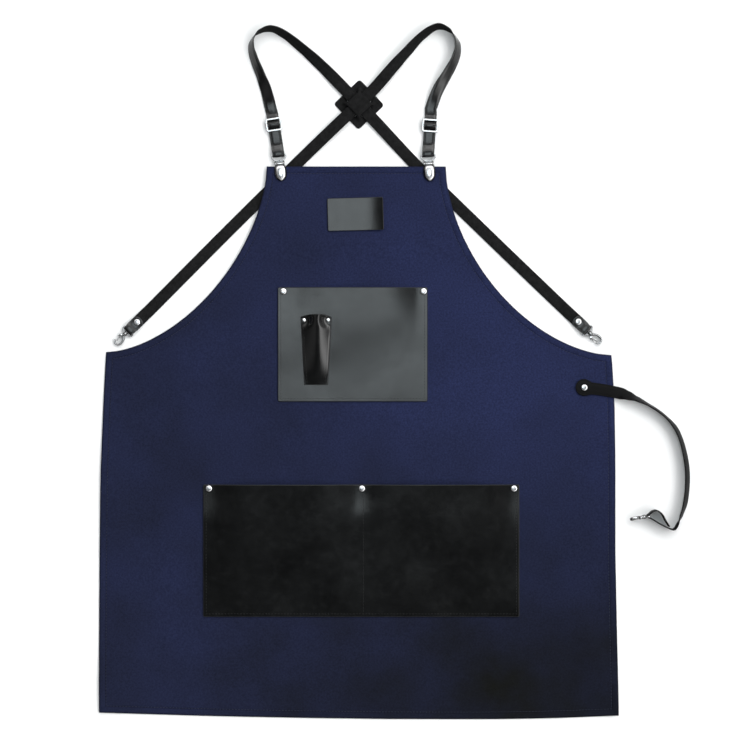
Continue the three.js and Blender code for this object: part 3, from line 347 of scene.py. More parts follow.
# Waist strap: widths of its round end along the strap from the rivet, its run, and its way back from the hook
WAIST_ROOT = (
    (-0.0114, 0.0040),
    (-0.0108, 0.0080),
    (-0.0090, 0.0145),
    (-0.0055, 0.0205),
    (0.0, 0.0230),
    (0.0055, 0.0205),
    (0.0090, 0.0168),
)
WAIST_FLAT_RISE = RIVET_LIFT + CANVAS + GAP + 0.0001
WAIST_END_RISE = 0.0012
WAIST_RUN = (
    (0.3170, 0.4438, 0, WAIST_FLAT_RISE),
    (0.3340, 0.4412, 0, WAIST_FLAT_RISE),
    (0.3490, 0.4382, 5, WAIST_FLAT_RISE),
    (0.3610, 0.4349, 42, 0.0008),
    (0.3730, 0.4303, 66, 0.0),
    (0.3890, 0.4222, 78, 0.0),
    (0.4103, 0.4076, 78, 0.0),
    (0.4280, 0.3860, 66, 0.0),
    (0.4404, 0.3380, 61, 0.0),
    (0.4386, 0.2940, 61, 0.0),
    (0.4332, 0.2756, 69, 0.0),
    (0.4272, 0.2616, 90, 0.0),
    (0.4244, 0.2572, 90, WAIST_END_RISE / 2),
    (0.4214, 0.2554, 90, WAIST_END_RISE),
    (0.4176, 0.2563, 90, WAIST_END_RISE),
    (0.4032, 0.2633, 90, WAIST_END_RISE),
    (0.3950, 0.2684, 90, WAIST_END_RISE),
)
WAIST_RETURN = (
    (0.3936, 0.2798, 90, WAIST_END_RISE),
    (0.3990, 0.2810, 90, WAIST_END_RISE),
    (0.4060, 0.2762, 90, WAIST_END_RISE),
    (0.4106, 0.2680, 90, WAIST_END_RISE),
    (0.4156, 0.2599, 90, WAIST_END_RISE),
)

# Cross patch where the straps meet at the back
PATCH = {
    "x": 0.0007, "y": 0.8256, "turn": math.radians(-46.4), "half": 0.024, "puff": 0.002, "step": 0.004,
    "corner": 0.004, "cell": 0.0016,
}
PATCH_SLIT = {"from": 0.0127, "to": 0.0150, "reach": 0.0083}
PATCH_Z = 3 * LAYER

# Floor, the light panel over the bib, and the spot of the apron under the middle of the picture
FLOOR_HALF = 30
FLOOR_WHITE = (0.93, 0.93, 0.93)
PANEL_CENTRE = (-0.08, 0.45, 2.9)
PANEL_TURN = math.radians(-15)
PANEL_SIZE = (1.1, 1.2)
PANEL_TINT = (0.86, 0.96, 1.0)
VIEW_CENTRE = Vector((0.0222, 0.4623, 0))

# Snap hooks, measured from the eye bar along the hook
SWIVEL_FROM_BAR = 0.0066
HOOK_PIVOT = Vector((0.0031, 0.0119, 0))
BOW_CENTRE = Vector((-0.0006, 0.0204, 0))
BOW_RADIUS = 0.0047
BOW_ANGLES = (180, 16)
BOW_STEPS = 12
CLAW_TAPER = (1.15, 0.85)
CLAW_CHEEK = {"inner": 0.0013, "outer": 0.0021, "radius": 0.0022}
CLAW_ARM_FOOT = Vector((0.0002, 0.0098, 0.0016))
CLAW_ARM_HEAD = HOOK_PIVOT + UP * 0.0017
GATE_PIN = {"half": 0.0023, "radius": 0.0007}
GATE_KNUCKLE = {"half": 0.00095, "radius": 0.0018}
GATE_TAPER = (1.2, 0.85)
GATE_STEPS = 8
GATE_TIP = Vector((0.0014, 0.0211, 0))
HOOK_EYE = (
    (0.0081, 0.0005), (0.0076, 0), (-0.0076, 0), (-0.0081, 0.0005),
    (-0.0081, 0.0031), (-0.0032, 0.0060), (0.0032, 0.0060), (0.0081, 0.0031),
)
HOOK_SPINE = ((-0.0006, 0.0096), (-0.0030, 0.0122), (-0.0049, 0.0155), (-0.0053, 0.0185))
HOOK_TAB = ((0.0030, 0.0138), (0.0044, 0.0148), (0.0051, 0.0160))
# Turned parts of a hook: radius and distance along it
HOOK_COLLAR = (
    (0.00165, 0.0053), (0.0027, 0.0053), (0.0029, 0.0056), (0.0029, 0.0077),
    (0.0027, 0.0080), (0.00165, 0.0080), (0.00165, 0.0053),
)
HOOK_STEM = (
    (0, 0.0040), (0.0021, 0.0040), (0.0023, 0.0042), (0.0023, 0.0050), (0.0013, 0.0050),
    (0.0013, 0.0084), (0.0026, 0.0084), (0.0028, 0.0088), (0.0024, 0.0102), (0, 0.0104),
)
ALONG_HOOK = Matrix.Rotation(-math.pi / 2, 4, "X")

# How soon painted shade darkens the plating as it turns away from above
CLIP_SHADE = 1.5
HOOK_SHADES = {"left": 2.2, "right": 2.2, "waist": 1.0}

# Colours that the finishes mix in: painted shade for the hem and the plating, and the leather's dark cut edge
# with its painted shadow
HEM_PAINTED_SHADE = (0.003, 0.0035, 0.007)
LEATHER_DUST = (0.009, 0.009, 0.0095)
LEATHER_EDGE_AND_SHADOW = (0.002, 0.002, 0.002)
SUEDE_DARK = (0.0036, 0.0036, 0.0037)
SUEDE_PALE = (0.0143, 0.0143, 0.0147)
METAL_PAINTED_SHADE = (0.03, 0.03, 0.03)
NAVY_THREAD = (0.010, 0.014, 0.040)
BLACK_THREAD = (0.010, 0.010, 0.011)


class ApronSizes(PropertyGroup):
    """Sizes that set how finely the cloth, leather and sewing are made."""

    canvas_cell: FloatProperty(
        name="Canvas cell", description="Grid spacing of the canvas", default=0.009, unit="LENGTH"
    )
    leather_cell: FloatProperty(
        name="Leather cell", description="Grid spacing of the leather panels", default=0.006, unit="LENGTH"
    )
    stitch_length: FloatProperty(
        name="Stitch", description="Length of one stitch", default=0.0031, unit="LENGTH"
    )
    stitch_gap: FloatProperty(
        name="Stitch gap", description="Gap between two stitches", default=0.0011, unit="LENGTH"
    )
    thread_width: FloatProperty(
        name="Thread", description="Width of the sewing thread", default=0.0006, unit="LENGTH"
    )
    strap_steps: IntProperty(
        name="Strap steps", description="Stations of a strap for each row of its route", default=7, min=2
    )


class ApronColours(PropertyGroup):
    """Colours of the apron's finishes."""

    # Shaded and lit ends of the canvas's painted light, with a random mottle between them
    canvas_shaded_dark: FloatVectorProperty(
        name="Canvas dark", description="Darker navy of the canvas", subtype="COLOR",
        default=(0.0058, 0.0063, 0.0042), size=3, min=0, max=1,
    )
    canvas_lit_blue: FloatVectorProperty(
        name="Canvas blue", description="Bluer navy of the canvas", subtype="COLOR",
        default=(0.0196, 0.0260, 0.0770), size=3, min=0, max=1,
    )
    pocket_leather: FloatVectorProperty(
        name="Pocket leather", description="Black of the pocket leather", subtype="COLOR",
        default=(0.0026, 0.0027, 0.0028), size=3, min=0, max=1,
    )
    strap_leather: FloatVectorProperty(
        name="Strap leather", description="Black of the strap leather", subtype="COLOR",
        default=(0.0040, 0.0040, 0.0042), size=3, min=0, max=1,
    )
    fittings: FloatVectorProperty(
        name="Fittings", description="Plated metal of the fittings", subtype="COLOR",
        default=(0.80, 0.80, 0.81), size=3, min=0, max=1,
    )


class ApronStage(PropertyGroup):
    """Camera and light of the studio."""

    view_width: FloatProperty(
        name="View width", description="Width of floor that the camera sees", default=1.008, unit="LENGTH"
    )
    camera_height: FloatProperty(
        name="Camera height", description="Height of the camera over the floor", default=2.6, unit="LENGTH"
    )
    bright_side: FloatProperty(name="Bright side", description="Light from the upper right", default=5.2)
    dim_side: FloatProperty(name="Dim side", description="Light from the lower left", default=0.3)
    overhead_light: FloatProperty(
        name="Overhead light", description="Power of the panel over the bib", default=14.5, unit="POWER"
    )


def sizes():
    return bpy.context.scene.apron_sizes


def colours():
    return bpy.context.scene.apron_colours


# Heights of the laid cloth


def smooth_ramp(value, start, end):
    share = min(1.0, max(0.0, (value - start) / (end - start)))
    return share * share * (3 - 2 * share)


def mixed(first, second, share):
    return first + (second - first) * share


def fold_height(x, y):
    total = 0.0
    for fold_x, fold_y, angle, length, width, height in FOLDS:
        turn = math.radians(angle)
        along = (x - fold_x) * math.cos(turn) + (y - fold_y) * math.sin(turn)
        across = (y - fold_y) * math.cos(turn) - (x - fold_x) * math.sin(turn)
        total += height * math.exp(-((along / length) ** 2) - (across / width) ** 2)
    return total


def to_nearest(x, y, posts):
    return min(math.hypot(x - post_x, y - post_y) for post_x, post_y in posts)


def looseness(x, y):
    """How freely cloth and hide may wave: not at all at a rivet, fully at some distance from it."""
    return smooth_ramp(to_nearest(x, y, POSTS), STIFF_NEAR, LOOSE_FROM)


def waves(x, y, table, base=0):
    """Waves of a table, none of them below zero on a base of 1."""
    total = 0.0
    for across, up, depth, height in table:
        total += height * (base + noise.noise(Vector((x * across, y * up, depth))))
    return looseness(x, y) * total


def canvas_under(x, y):
    hill = RIVET_LIFT * (1 - smooth_ramp(to_nearest(x, y, POSTS), HILL_FLAT, HILL_FOOT))
    bib = BIB_LIFT * smooth_ramp(y, BIB_LIFT_START, BIB_LIFT_FULL)
    return max(hill, bib) + fold_height(x, y)


def canvas_face(x, y):
    return canvas_under(x, y) + CANVAS + waves(x, y, CLOTH_WAVES, 1)


def share_up(y, panel):
    return min(1.0, max(0.0, (y - panel["bottom"]) / (panel["top"] - panel["bottom"])))


def slack_between(x, y, posts, panel, slack, flare):
    middle = (posts[0] + posts[1]) / 2
    reach = (posts[1] - posts[0]) / 2 - POST_MARGIN
    across = min(1.0, abs(x - middle) / reach)
    return slack * (1 - across ** 2) ** (flare if x < middle else 1) * share_up(y, panel) ** SLACK_POWER


def chest_under(x, y, slack=CHEST["slack"], flare=CHEST["flare"]):
    posts = (CHEST_POSTS[0][0], CHEST_POSTS[1][0])
    return canvas_face(x, y) + SEAT + slack_between(x, y, posts, CHEST, slack, flare)


def lower_under(x, y):
    left, middle, right = (post[0] for post in LOWER_POSTS)
    posts = (left, middle) if x < middle else (middle, right)
    return canvas_face(x, y) + SEAT + slack_between(x, y, posts, LOWER, LOWER["slack"], LOWER["flare"])


def sleeve_under(x, y):
    up = share_up(y, SLEEVE)
    across = (x - SLEEVE["x"]) / mixed(SLEEVE["half_bottom"], SLEEVE["half_top"], up)
    crest = SLEEVE_TUBE["crest"]
    reach = SLEEVE_TUBE["share"] - math.copysign(crest, across - crest)
    ridge = 1 - min(1.0, abs(across - crest) / reach) ** SLEEVE_TUBE["power"]
    lift = mixed(SLEEVE_TUBE["low"], SLEEVE_TUBE["high"], up)
    riveted = smooth_ramp(to_nearest(x, y, SLEEVE_POSTS), SLEEVE_TUBE["pinched"], SLEEVE_TUBE["free"])
    return chest_under(x, y, SLEEVE_SLACK, 1) + LEATHER + SEAT + lift * ridge * riveted


# Making pieces


def add_object(name, data):
    item = bpy.data.objects.new(name, data)
    bpy.context.scene.collection.objects.link(item)
    return item


def new_mesh(name, bm, materials):
    mesh = bpy.data.meshes.new(name)
    bm.to_mesh(mesh)
    bm.free()
    for material in materials:
        mesh.materials.append(material)
    return mesh


def publish(name, bm, materials, nodes=(), body=MAIN_BODY, sharp=None):
    """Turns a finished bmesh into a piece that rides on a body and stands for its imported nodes."""
    mesh = new_mesh(name, bm, materials)
    mesh.shade_smooth()
    if sharp is not None:
        mesh.set_sharp_from_angle(angle=math.radians(sharp))
    piece = add_object(name, mesh)
    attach(piece, body)
    if nodes:
        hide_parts(*nodes)
    return piece


def solidify(piece, thickness):
    """Gives a sheet its wall, below the face that shows."""
    wall = piece.modifiers.new("Wall", "SOLIDIFY")
    wall.thickness = thickness
    wall.offset = -1


def cut_sheet(outline, bands, cell, lines=()):
    """A flat sheet: its outline, bands inset from its edge, and a grid of cuts for bending."""
    bm = bmesh.new()
    relief = bm.verts.layers.float.new("relief")
    # The seam layer holds each band's darkness: painted shade on the canvas's hem, and on leather a dark cut
    # edge with painted shadow
    seam = bm.verts.layers.float.new("seam")
    corners = [bm.verts.new((x, y, 0)) for x, y in outline]
    middle = bm.faces.new(corners)
    for width, height, darkness in bands:
        if width > 0:
            bmesh.ops.inset_region(
                bm, faces=[middle], thickness=width, use_boundary=True, use_even_offset=True
            )
        for corner in middle.verts:
            corner[relief] = height
            corner[seam] = darkness
    for axis in range(2):
        low = min(point[axis] for point in outline)
        high = max(point[axis] for point in outline)
        count = max(1, round((high - low) / cell))
        cuts = [mixed(low, high, step / count) for step in range(1, count)]
        normal = Vector((1, 0, 0)) if axis == 0 else Vector((0, 1, 0))
        for cut in (*cuts, *lines):
            geometry = bm.verts[:] + bm.edges[:] + bm.faces[:]
            bmesh.ops.bisect_plane(bm, geom=geometry, dist=1e-6, plane_co=normal * cut, plane_no=normal)
    return bm


def lay(bm, height):
    """Lifts a flat sheet to its height, with its edge relief, and moves it to the frame's origin."""
    relief = bm.verts.layers.float["relief"]
    for vert in bm.verts:
        vert.co.z = height(vert.co.x, vert.co.y) + vert[relief]
    bmesh.ops.translate(bm, verts=bm.verts, vec=ORIGIN)


def inset_path(outline, distance):
    """The outline's own path, moved inwards by a distance."""
    path = []
    count = len(outline)
    for index in range(count):
        before = Vector(outline[index - 1])
        here = Vector(outline[index])
        after = Vector(outline[(index + 1) % count])
        first = (here - before).normalized()
        second = (after - here).normalized()
        inward = Vector((-first.y - second.y, first.x + second.x)).normalized()
        stretch = max(0.5, inward.dot(Vector((-first.y, first.x))))
        path.append(here + inward * distance / stretch)
    return path


def stitch_path(bm, path, height, closed=True):
    """Sews a row of stitches along a path of points, on a surface of the given height."""
    length = sizes().stitch_length
    pitch = length + sizes().stitch_gap
    width = sizes().thread_width
    points = [Vector(point) for point in path]
    if closed:
        points.append(points[0])
    travelled = pitch / 2
    for start, end in zip(points, points[1:]):
        span = (end - start).length
        ahead = (end - start).normalized() if span > 0 else Vector((1, 0))
        while travelled < span:
            spot = start + ahead * travelled
            tail = spot - ahead * length / 2
            head = spot + ahead * length / 2
            low = height(tail.x, tail.y)
            high = height(head.x, head.y)
            place = Matrix.Translation(ORIGIN + Vector((spot.x, spot.y, height(spot.x, spot.y))))
            turn = Matrix.Rotation(math.atan2(ahead.y, ahead.x), 4, "Z")
            pitch_down = Matrix.Rotation(-math.atan2(high - low, length), 4, "Y")
            shape = Matrix.Diagonal((length / 2, width / 2, width / 2, 1))
            matrix = place @ turn @ pitch_down @ shape
            bmesh.ops.create_uvsphere(bm, u_segments=6, v_segments=4, radius=1, matrix=matrix)
            travelled += pitch
        travelled -= span


# Sweeping and turning


def flat_points(rows, z=0):
    """Points at one height, from rows that start with x and y."""
    return [Vector((row[0], row[1], z)) for row in rows]


def placed(at, *axes):
    """A place from its origin and the directions of its x, y and z."""
    return Matrix.Translation(at) @ Matrix(axes).transposed().to_4x4()


def ahead_at(points, index, closed=False):
    """Direction of a path at one of its points."""
    last = len(points) - 1
    before = points[index - 1 if closed or index > 0 else 0]
    after = points[(index + 1) % len(points) if closed or index < last else last]
    return (after - before).normalized()


def is_vert(element):
    return isinstance(element, bmesh.types.BMVert)


def sweep(bm, section, stations, closed=False, back=None, hand=1):
    """Extrudes a closed section from station to station, and caps its ends or joins them.

    A layer named as the back holds 1 on the side of the section that faces away from the hand's face.
    """
    verts = [bm.verts.new(stations[0] @ point) for point in section]
    if back is not None:
        for vert, point in zip(verts, section):
            vert[back] = 1.0 if point.y * hand < 0 else 0.0
    loop = [bm.edges.new((verts[index - 1], verts[index])) for index in range(len(verts))]
    first = list(loop)
    for before, after in zip(stations, stations[1:]):
        made = bmesh.ops.extrude_edge_only(bm, edges=loop)["geom"]
        moved = {element for element in made if is_vert(element)}
        loop = [e for e in made if isinstance(e, bmesh.types.BMEdge) and moved.issuperset(e.verts)]
        bmesh.ops.transform(bm, matrix=after @ before.inverted(), verts=list(moved))
    if closed:
        bmesh.ops.bridge_loops(bm, edges=first + loop)
    else:
        bmesh.ops.contextual_create(bm, geom=first)
        bmesh.ops.contextual_create(bm, geom=loop)


def oval(half_width, half_height, sides, power):
    """A rounded section: a power below 1 makes it squarer."""
    section = []
    for step in range(sides):
        angle = 2 * math.pi * (step + 0.5) / sides
        x = math.copysign(abs(math.cos(angle)) ** power, math.cos(angle))
        y = math.copysign(abs(math.sin(angle)) ** power, math.sin(angle))
        section.append(Vector((half_width * x, half_height * y, 0)))
    return section


def path_stations(points, normal, closed=False, scales=None):
    """Frames along a path: x across the path, y along the given normal, z ahead."""
    stations = []
    for index, point in enumerate(points):
        ahead = ahead_at(points, index, closed)
        across = normal.cross(ahead).normalized()
        scale = scales[index] if scales else 1.0
        stations.append(placed(point, across * scale, ahead.cross(across) * scale, ahead))
    return stations


def bar(bm, name, points, normal=UP, closed=False, scales=None):
    """A bar with a named section along a path, or a ring of it."""
    sweep(bm, oval(*SECTIONS[name]), path_stations(points, normal, closed, scales), closed)


def taper(start, end, count):
    """Even scales from a bar's start to its end."""
    return [mixed(start, end, index / (count - 1)) for index in range(count)]


def rod(bm, start, end, radius, rounding=ROD_ROUNDING):
    """A round bar with softened ends."""
    axis = end - start
    matrix = Matrix.Translation((start + end) / 2) @ axis.to_track_quat("Z", "Y").to_matrix().to_4x4()
    made = bmesh.ops.create_cone(
        bm, cap_ends=True, segments=ROD_SIDES, radius1=radius, radius2=radius,
        depth=axis.length, matrix=matrix,
    )
    edges = {edge for vert in made["verts"] for edge in vert.link_edges}
    rims = [edge for edge in edges if edge.calc_face_angle(0) > ROD_RIM_ANGLE]
    bmesh.ops.bevel(
        bm, geom=rims, offset=rounding, segments=2, profile=0.5, affect="EDGES", material=-1
    )


def turned(bm, profile, matrix, sides=28):
    """A body turned about its own z from a profile of radius and height."""
    verts = [bm.verts.new((radius, 0, height)) for radius, height in profile]
    edges = [bm.edges.new(pair) for pair in zip(verts, verts[1:])]
    earlier = set(bm.verts) - set(verts)
    bmesh.ops.spin(
        bm, geom=verts + edges, cent=(0, 0, 0), axis=(0, 0, 1), angle=2 * math.pi, steps=sides, use_merge=True
    )
    made = [vert for vert in bm.verts if vert not in earlier]
    bmesh.ops.transform(bm, matrix=matrix, verts=made)
    bmesh.ops.remove_doubles(bm, verts=made, dist=1e-7)


def face_out(bm):
    bmesh.ops.recalc_face_normals(bm, faces=bm.faces)


# Finishes


def new_material(name):
    material = bpy.data.materials.new(name)
    material.use_nodes = True
    return material, material.node_tree


def feed(tree, socket, value):
    """Links a socket to another node's output, or sets its number or its colour of three parts."""
    if isinstance(value, bpy.types.NodeSocket):
        tree.links.new(value, socket)
    elif socket.type == "RGBA":
        socket.default_value = (*value, 1)
    else:
        socket.default_value = value


def dressed(material, values):
    """Feeds a material's shader, by its sockets' names."""
    tree = material.node_tree
    for name, value in values.items():
        feed(tree, tree.nodes["Principled BSDF"].inputs[name], value)
    return material


def add_node(tree, kind, **settings):
    """Adds a node, sets its options and, by their names, feeds its inputs."""
    node = tree.nodes.new(kind)
    for name, value in settings.items():
        if hasattr(node, name):
            setattr(node, name, value)
        else:
            feed(tree, node.inputs[name.replace("_", " ").title()], value)
    return node


def object_place(tree, turn=0):
    """Object coordinates, turned about z by some degrees where a pattern runs aslant."""
    place = add_node(tree, "ShaderNodeTexCoord").outputs["Object"]
    mapping = add_node(tree, "ShaderNodeMapping", rotation=(0, 0, math.radians(turn)), vector=place)
    return mapping.outputs["Vector"]


def noise_at(tree, place, scale, detail):
    return add_node(tree, "ShaderNodeTexNoise", scale=scale, detail=detail, vector=place).outputs["Fac"]


def bands_at(tree, place, pitch, direction):
    """Even bands with the given pitch in metres, a little wavy."""
    node = add_node(
        tree, "ShaderNodeTexWave", bands_direction=direction, vector=place,
        scale=math.pi / 10 / pitch, distortion=0.6, detail_scale=2.0,
    )
    return node.outputs["Fac"]


def between(tree, value, low, high, out_low, out_high):
    """A value's way from low to high, as a way from one output to the other."""
    node = add_node(
        tree, "ShaderNodeMapRange", value=value, from_min=low, from_max=high, to_min=out_low, to_max=out_high
    )
    return node.outputs["Result"]


def combine(tree, operation, first, second):
    node = add_node(tree, "ShaderNodeMath", operation=operation)
    for socket, value in zip(node.inputs, (first, second)):
        feed(tree, socket, value)
    return node.outputs["Value"]


def weighted(tree, first, first_share, second, second_share):
    """Sum of two values, each times its share."""
    start = combine(tree, "MULTIPLY", first, first_share)
    return combine(tree, "ADD", start, combine(tree, "MULTIPLY", second, second_share))


def colour_mix(tree, share, first, second, blend="MIX"):
    """Two colours mixed: a mix node has its share first and its colours seventh and eighth."""
    node = add_node(tree, "ShaderNodeMix", data_type="RGBA", blend_type=blend)
    for index, value in ((0, share), (6, first), (7, second)):
        feed(tree, node.inputs[index], value)
    return node.outputs[2]


def bump(tree, height, distance, strength):
    node = add_node(tree, "ShaderNodeBump", strength=strength, distance=distance)
    feed(tree, node.inputs["Height"], height)
    return node.outputs["Normal"]


def point_value(tree, name):
    """A value that the mesh holds at each of its points."""
    return add_node(tree, "ShaderNodeAttribute", attribute_name=name).outputs["Fac"]


def shade_of(colour, share):
    return tuple(share * part for part in colour)


def canvas_finish(name):
    """Matt navy twill with a slant weave and slubs, with painted light making it bluer towards the upper
    right, painted shade making it greyer below it, and painted shade in the weave's valleys.
    """
    material, tree = new_material(name)
    flat = object_place(tree)
    slant = object_place(tree, 58)
    spot = add_node(tree, "ShaderNodeSeparateXYZ", vector=flat)
    # Painted light and shade: bluer towards the upper right, greyer below it, with a random mottle over it
    to_right = between(tree, spot.outputs["X"], -0.30, 0.10, 0.0, 1.0)
    to_bib = between(tree, spot.outputs["Y"], -0.42, -0.02, -1.0, 1.0)
    painted_light = between(tree, combine(tree, "MULTIPLY", to_right, to_bib), -1.0, 1.0, 0.14, 0.96)
    mottle = between(tree, noise_at(tree, flat, 9.0, 5.0), 0.3, 0.7, -0.15, 0.15)
    patches = combine(tree, "ADD", painted_light, mottle)
    slubs = noise_at(tree, flat, 420.0, 2.0)
    twill = bands_at(tree, slant, 0.0011, "X")
    weft = bands_at(tree, flat, 0.0007, "Y")
    cloth = colour_mix(tree, patches, colours().canvas_shaded_dark, colours().canvas_lit_blue)
    # Painted shade in the twill's valleys; the slubs vary the threads' own tone
    valley_shade = between(tree, twill, 0.0, 1.0, 0.60, 1.0)
    slubs_and_valley_shade = combine(tree, "MULTIPLY", valley_shade, between(tree, slubs, 0.3, 0.7, 0.82, 1.30))
    woven = colour_mix(tree, 1.0, cloth, slubs_and_valley_shade, "MULTIPLY")
    # Painted shade along the rolled hem edge and in its stitch groove
    hem_share = between(tree, point_value(tree, "seam"), 0.0, 1.0, 0.0, 0.55)
    height = weighted(tree, twill, 0.7, weft, 0.3)
    return dressed(material, {
        "Base Color": colour_mix(tree, hem_share, woven, HEM_PAINTED_SHADE),
        "Normal": bump(tree, weighted(tree, height, 1.0, slubs, 0.5), 0.00025, 0.55),
        "Roughness": 0.92,
        "Specular IOR Level": 0.08,
        "Sheen Weight": 0.02,
    })


def leather_finish(name, colour, grain, roughness, specular=0.5):
    """Black leather with a pebbled grain, fine creases and a patchy shine, and on a marked lip a dark cut
    edge with painted contact shadow.
    """
    material, tree = new_material(name)
    flat = object_place(tree)
    cells = add_node(tree, "ShaderNodeTexVoronoi", feature="SMOOTH_F1", scale=1 / grain, vector=flat)
    creases = noise_at(tree, flat, 95.0, 6.0)
    patches = noise_at(tree, flat, 14.0, 3.0)
    tone = colour_mix(tree, between(tree, patches, 0.3, 0.7, 0.0, 1.0), colour, shade_of(colour, 1.5))
    dusty = colour_mix(tree, between(tree, creases, 0.55, 0.8, 0.0, 0.25), tone, LEATHER_DUST)
    seam = point_value(tree, "seam")
    # The lip's dark cut edge, darkened further as painted contact shadow
    edge_and_shadow_share = between(tree, seam, 0.0, 1.0, 0.0, 0.6)
    shine = weighted(tree, creases, 0.10, patches, 0.14)
    shown = weighted(tree, shine, 1.0, seam, 0.6)
    pebble = between(tree, cells.outputs["Distance"], 0.0, 0.8, 1.0, 0.0)
    return dressed(material, {
        "Base Color": colour_mix(tree, edge_and_shadow_share, dusty, LEATHER_EDGE_AND_SHADOW),
        "Normal": bump(tree, weighted(tree, pebble, 0.6, creases, 0.5), 0.00012, 0.35),
        "Roughness": combine(tree, "ADD", shown, roughness - 0.12),
        "Specular IOR Level": specular,
    })


def suede_finish(name):
    """The rough black back of a strap, with short fibres."""
    material, tree = new_material(name)
    flat = object_place(tree)
    fibres = noise_at(tree, flat, 900.0, 3.0)
    clumps = noise_at(tree, flat, 190.0, 4.0)
    nap = weighted(tree, fibres, 0.6, clumps, 0.6)
    share = between(tree, nap, 0.4, 0.8, 0.0, 1.0)
    return dressed(material, {
        "Base Color": colour_mix(tree, share, SUEDE_DARK, SUEDE_PALE),
        "Normal": bump(tree, nap, 0.0003, 0.7),
        "Roughness": 0.95,
        "Specular IOR Level": 0.12,
    })


def metal_finish(name):
    """Bright plating with faint wipe marks and softly varied shine, with painted shade darkening the sides
    that turn away from above.
    """
    material, tree = new_material(name)
    slant = object_place(tree, 30)
    wipes = bands_at(tree, slant, 0.0009, "X")
    cloud = noise_at(tree, slant, 220.0, 4.0)
    tint = colour_mix(tree, cloud, colours().fittings, shade_of(colours().fittings, 0.82))
    # Painted shade on the sides that turn away from above
    steep_shade = between(tree, point_value(tree, "steep_shade"), 0.07, 0.30, 0.0, 0.92)
    return dressed(material, {
        "Base Color": colour_mix(tree, steep_shade, tint, METAL_PAINTED_SHADE),
        "Normal": bump(tree, combine(tree, "ADD", wipes, cloud), 0.00002, 0.15),
        "Roughness": between(tree, cloud, 0.2, 0.8, 0.18, 0.34),
        "Metallic": 1.0,
    })


def thread_finish(name, colour):
    """Twisted sewing thread."""
    material, tree = new_material(name)
    twist = bands_at(tree, object_place(tree, 35), 0.0005, "DIAGONAL")
    return dressed(material, {
        "Base Color": colour_mix(tree, twist, shade_of(colour, 0.5), colour),
        "Normal": bump(tree, twist, 0.0001, 0.6),
        "Roughness": 0.7,
    })


def finish(name):
    """A finish by its name, made once."""
    known = bpy.data.materials.get(name)
    if known:
        return known
    makers = {
        "navy_canvas": (canvas_finish,),
        "pocket_black": (leather_finish, colours().pocket_leather, 0.0011, 0.20),
        "strap_black": (leather_finish, colours().strap_leather, 0.0008, 0.22),
        "waist_black": (leather_finish, colours().strap_leather, 0.0008, 0.50, 0.06),
        "strap_suede": (suede_finish,),
        "bright_plating": (metal_finish,),
        "navy_thread": (thread_finish, NAVY_THREAD),
        "black_thread": (thread_finish, BLACK_THREAD),
    }
    make, *values = makers[name]
    return make(name, *values)


# Canvas


def hem_rise(x):
    right = x > HEM_LOWEST_X
    edge = HEM_HALF if right else -HEM_HALF
    share = (x - HEM_LOWEST_X) / (edge - HEM_LOWEST_X)
    return (HEM_RISE_RIGHT if right else HEM_RISE_LEFT) * share ** 2


def settled(x, level):
    """A point of the outline, with the hem's rise and the waist's tilt."""
    hem_share = max(0.0, 1 - level / WAIST_HEIGHT)
    waist_share = 1 - min(1.0, abs(level - WAIST_HEIGHT) / (APRON_LENGTH - WAIST_HEIGHT))
    return x, level + hem_rise(x) * hem_share + WAIST_TILT * x * waist_share


def skirt_half(side, level):
    """Distance of a skirt edge from the hem's middle, straight between the rows of its table."""
    column = 2 if side > 0 else 1
    for low, high in zip(SIDES, SIDES[1:]):
        if level <= high[0]:
            break
    return mixed(low[column], high[column], (level - low[0]) / (high[0] - low[0]))


def skirt_edge(side, share):
    level = share * WAIST_HEIGHT
    return settled(side * skirt_half(side, level), level)


def armhole_edge(side, share):
    angle = math.pi / 2 * (1 - share)
    power = ARMHOLE_POWERS[side]
    inset = 0.0 if share == 0 else math.cos(angle) ** (2 / power)
    below = math.sin(angle) ** (2 / power)
    x = mixed(side * skirt_half(side, WAIST_HEIGHT), BIB_SHIFT + side * BIB_HALF, inset)
    return settled(x, APRON_LENGTH - (APRON_LENGTH - WAIST_HEIGHT) * below)


def apron_outline():
    """The canvas's edge, anticlockwise from the hem's left corner, sparse enough to inset at its corners."""
    hem = [settled(mixed(-SIDES[0][1], SIDES[0][2], step / HEM_STEPS), 0.0) for step in range(HEM_STEPS)]
    right = [skirt_edge(1, step / SIDE_STEPS) for step in range(SIDE_STEPS)]
    free_steps = range(ARMHOLE_BARE_STEPS, ARMHOLE_STEPS - ARMHOLE_BARE_STEPS + 1)
    shares = [0, *(step / ARMHOLE_STEPS for step in free_steps), 1]
    right_arm = [armhole_edge(1, share) for share in shares]
    left_arm = [armhole_edge(-1, share) for share in reversed(shares)]
    start, top = right_arm[-1]
    end = left_arm[0][0]
    bib = [(mixed(start, end, step / BIB_STEPS), top) for step in range(1, BIB_STEPS)]
    left = [skirt_edge(-1, 1 - step / SIDE_STEPS) for step in range(1, SIDE_STEPS)]
    return hem + right + right_arm + bib + left_arm + left


def panel_outline(left, right, bottom, top, radius=PANEL_CORNER, steps=4):
    """A rectangle with round corners, each turned in a number of steps."""
    centres = (
        (right - radius, bottom + radius, -90),
        (right - radius, top - radius, 0),
        (left + radius, top - radius, 90),
        (left + radius, bottom + radius, 180),
    )
    outline = []
    for x, y, start in centres:
        for step in range(steps + 1):
            angle = math.radians(start + 90 * step / steps)
            outline.append((x + radius * math.cos(angle), y + radius * math.sin(angle)))
    return outline


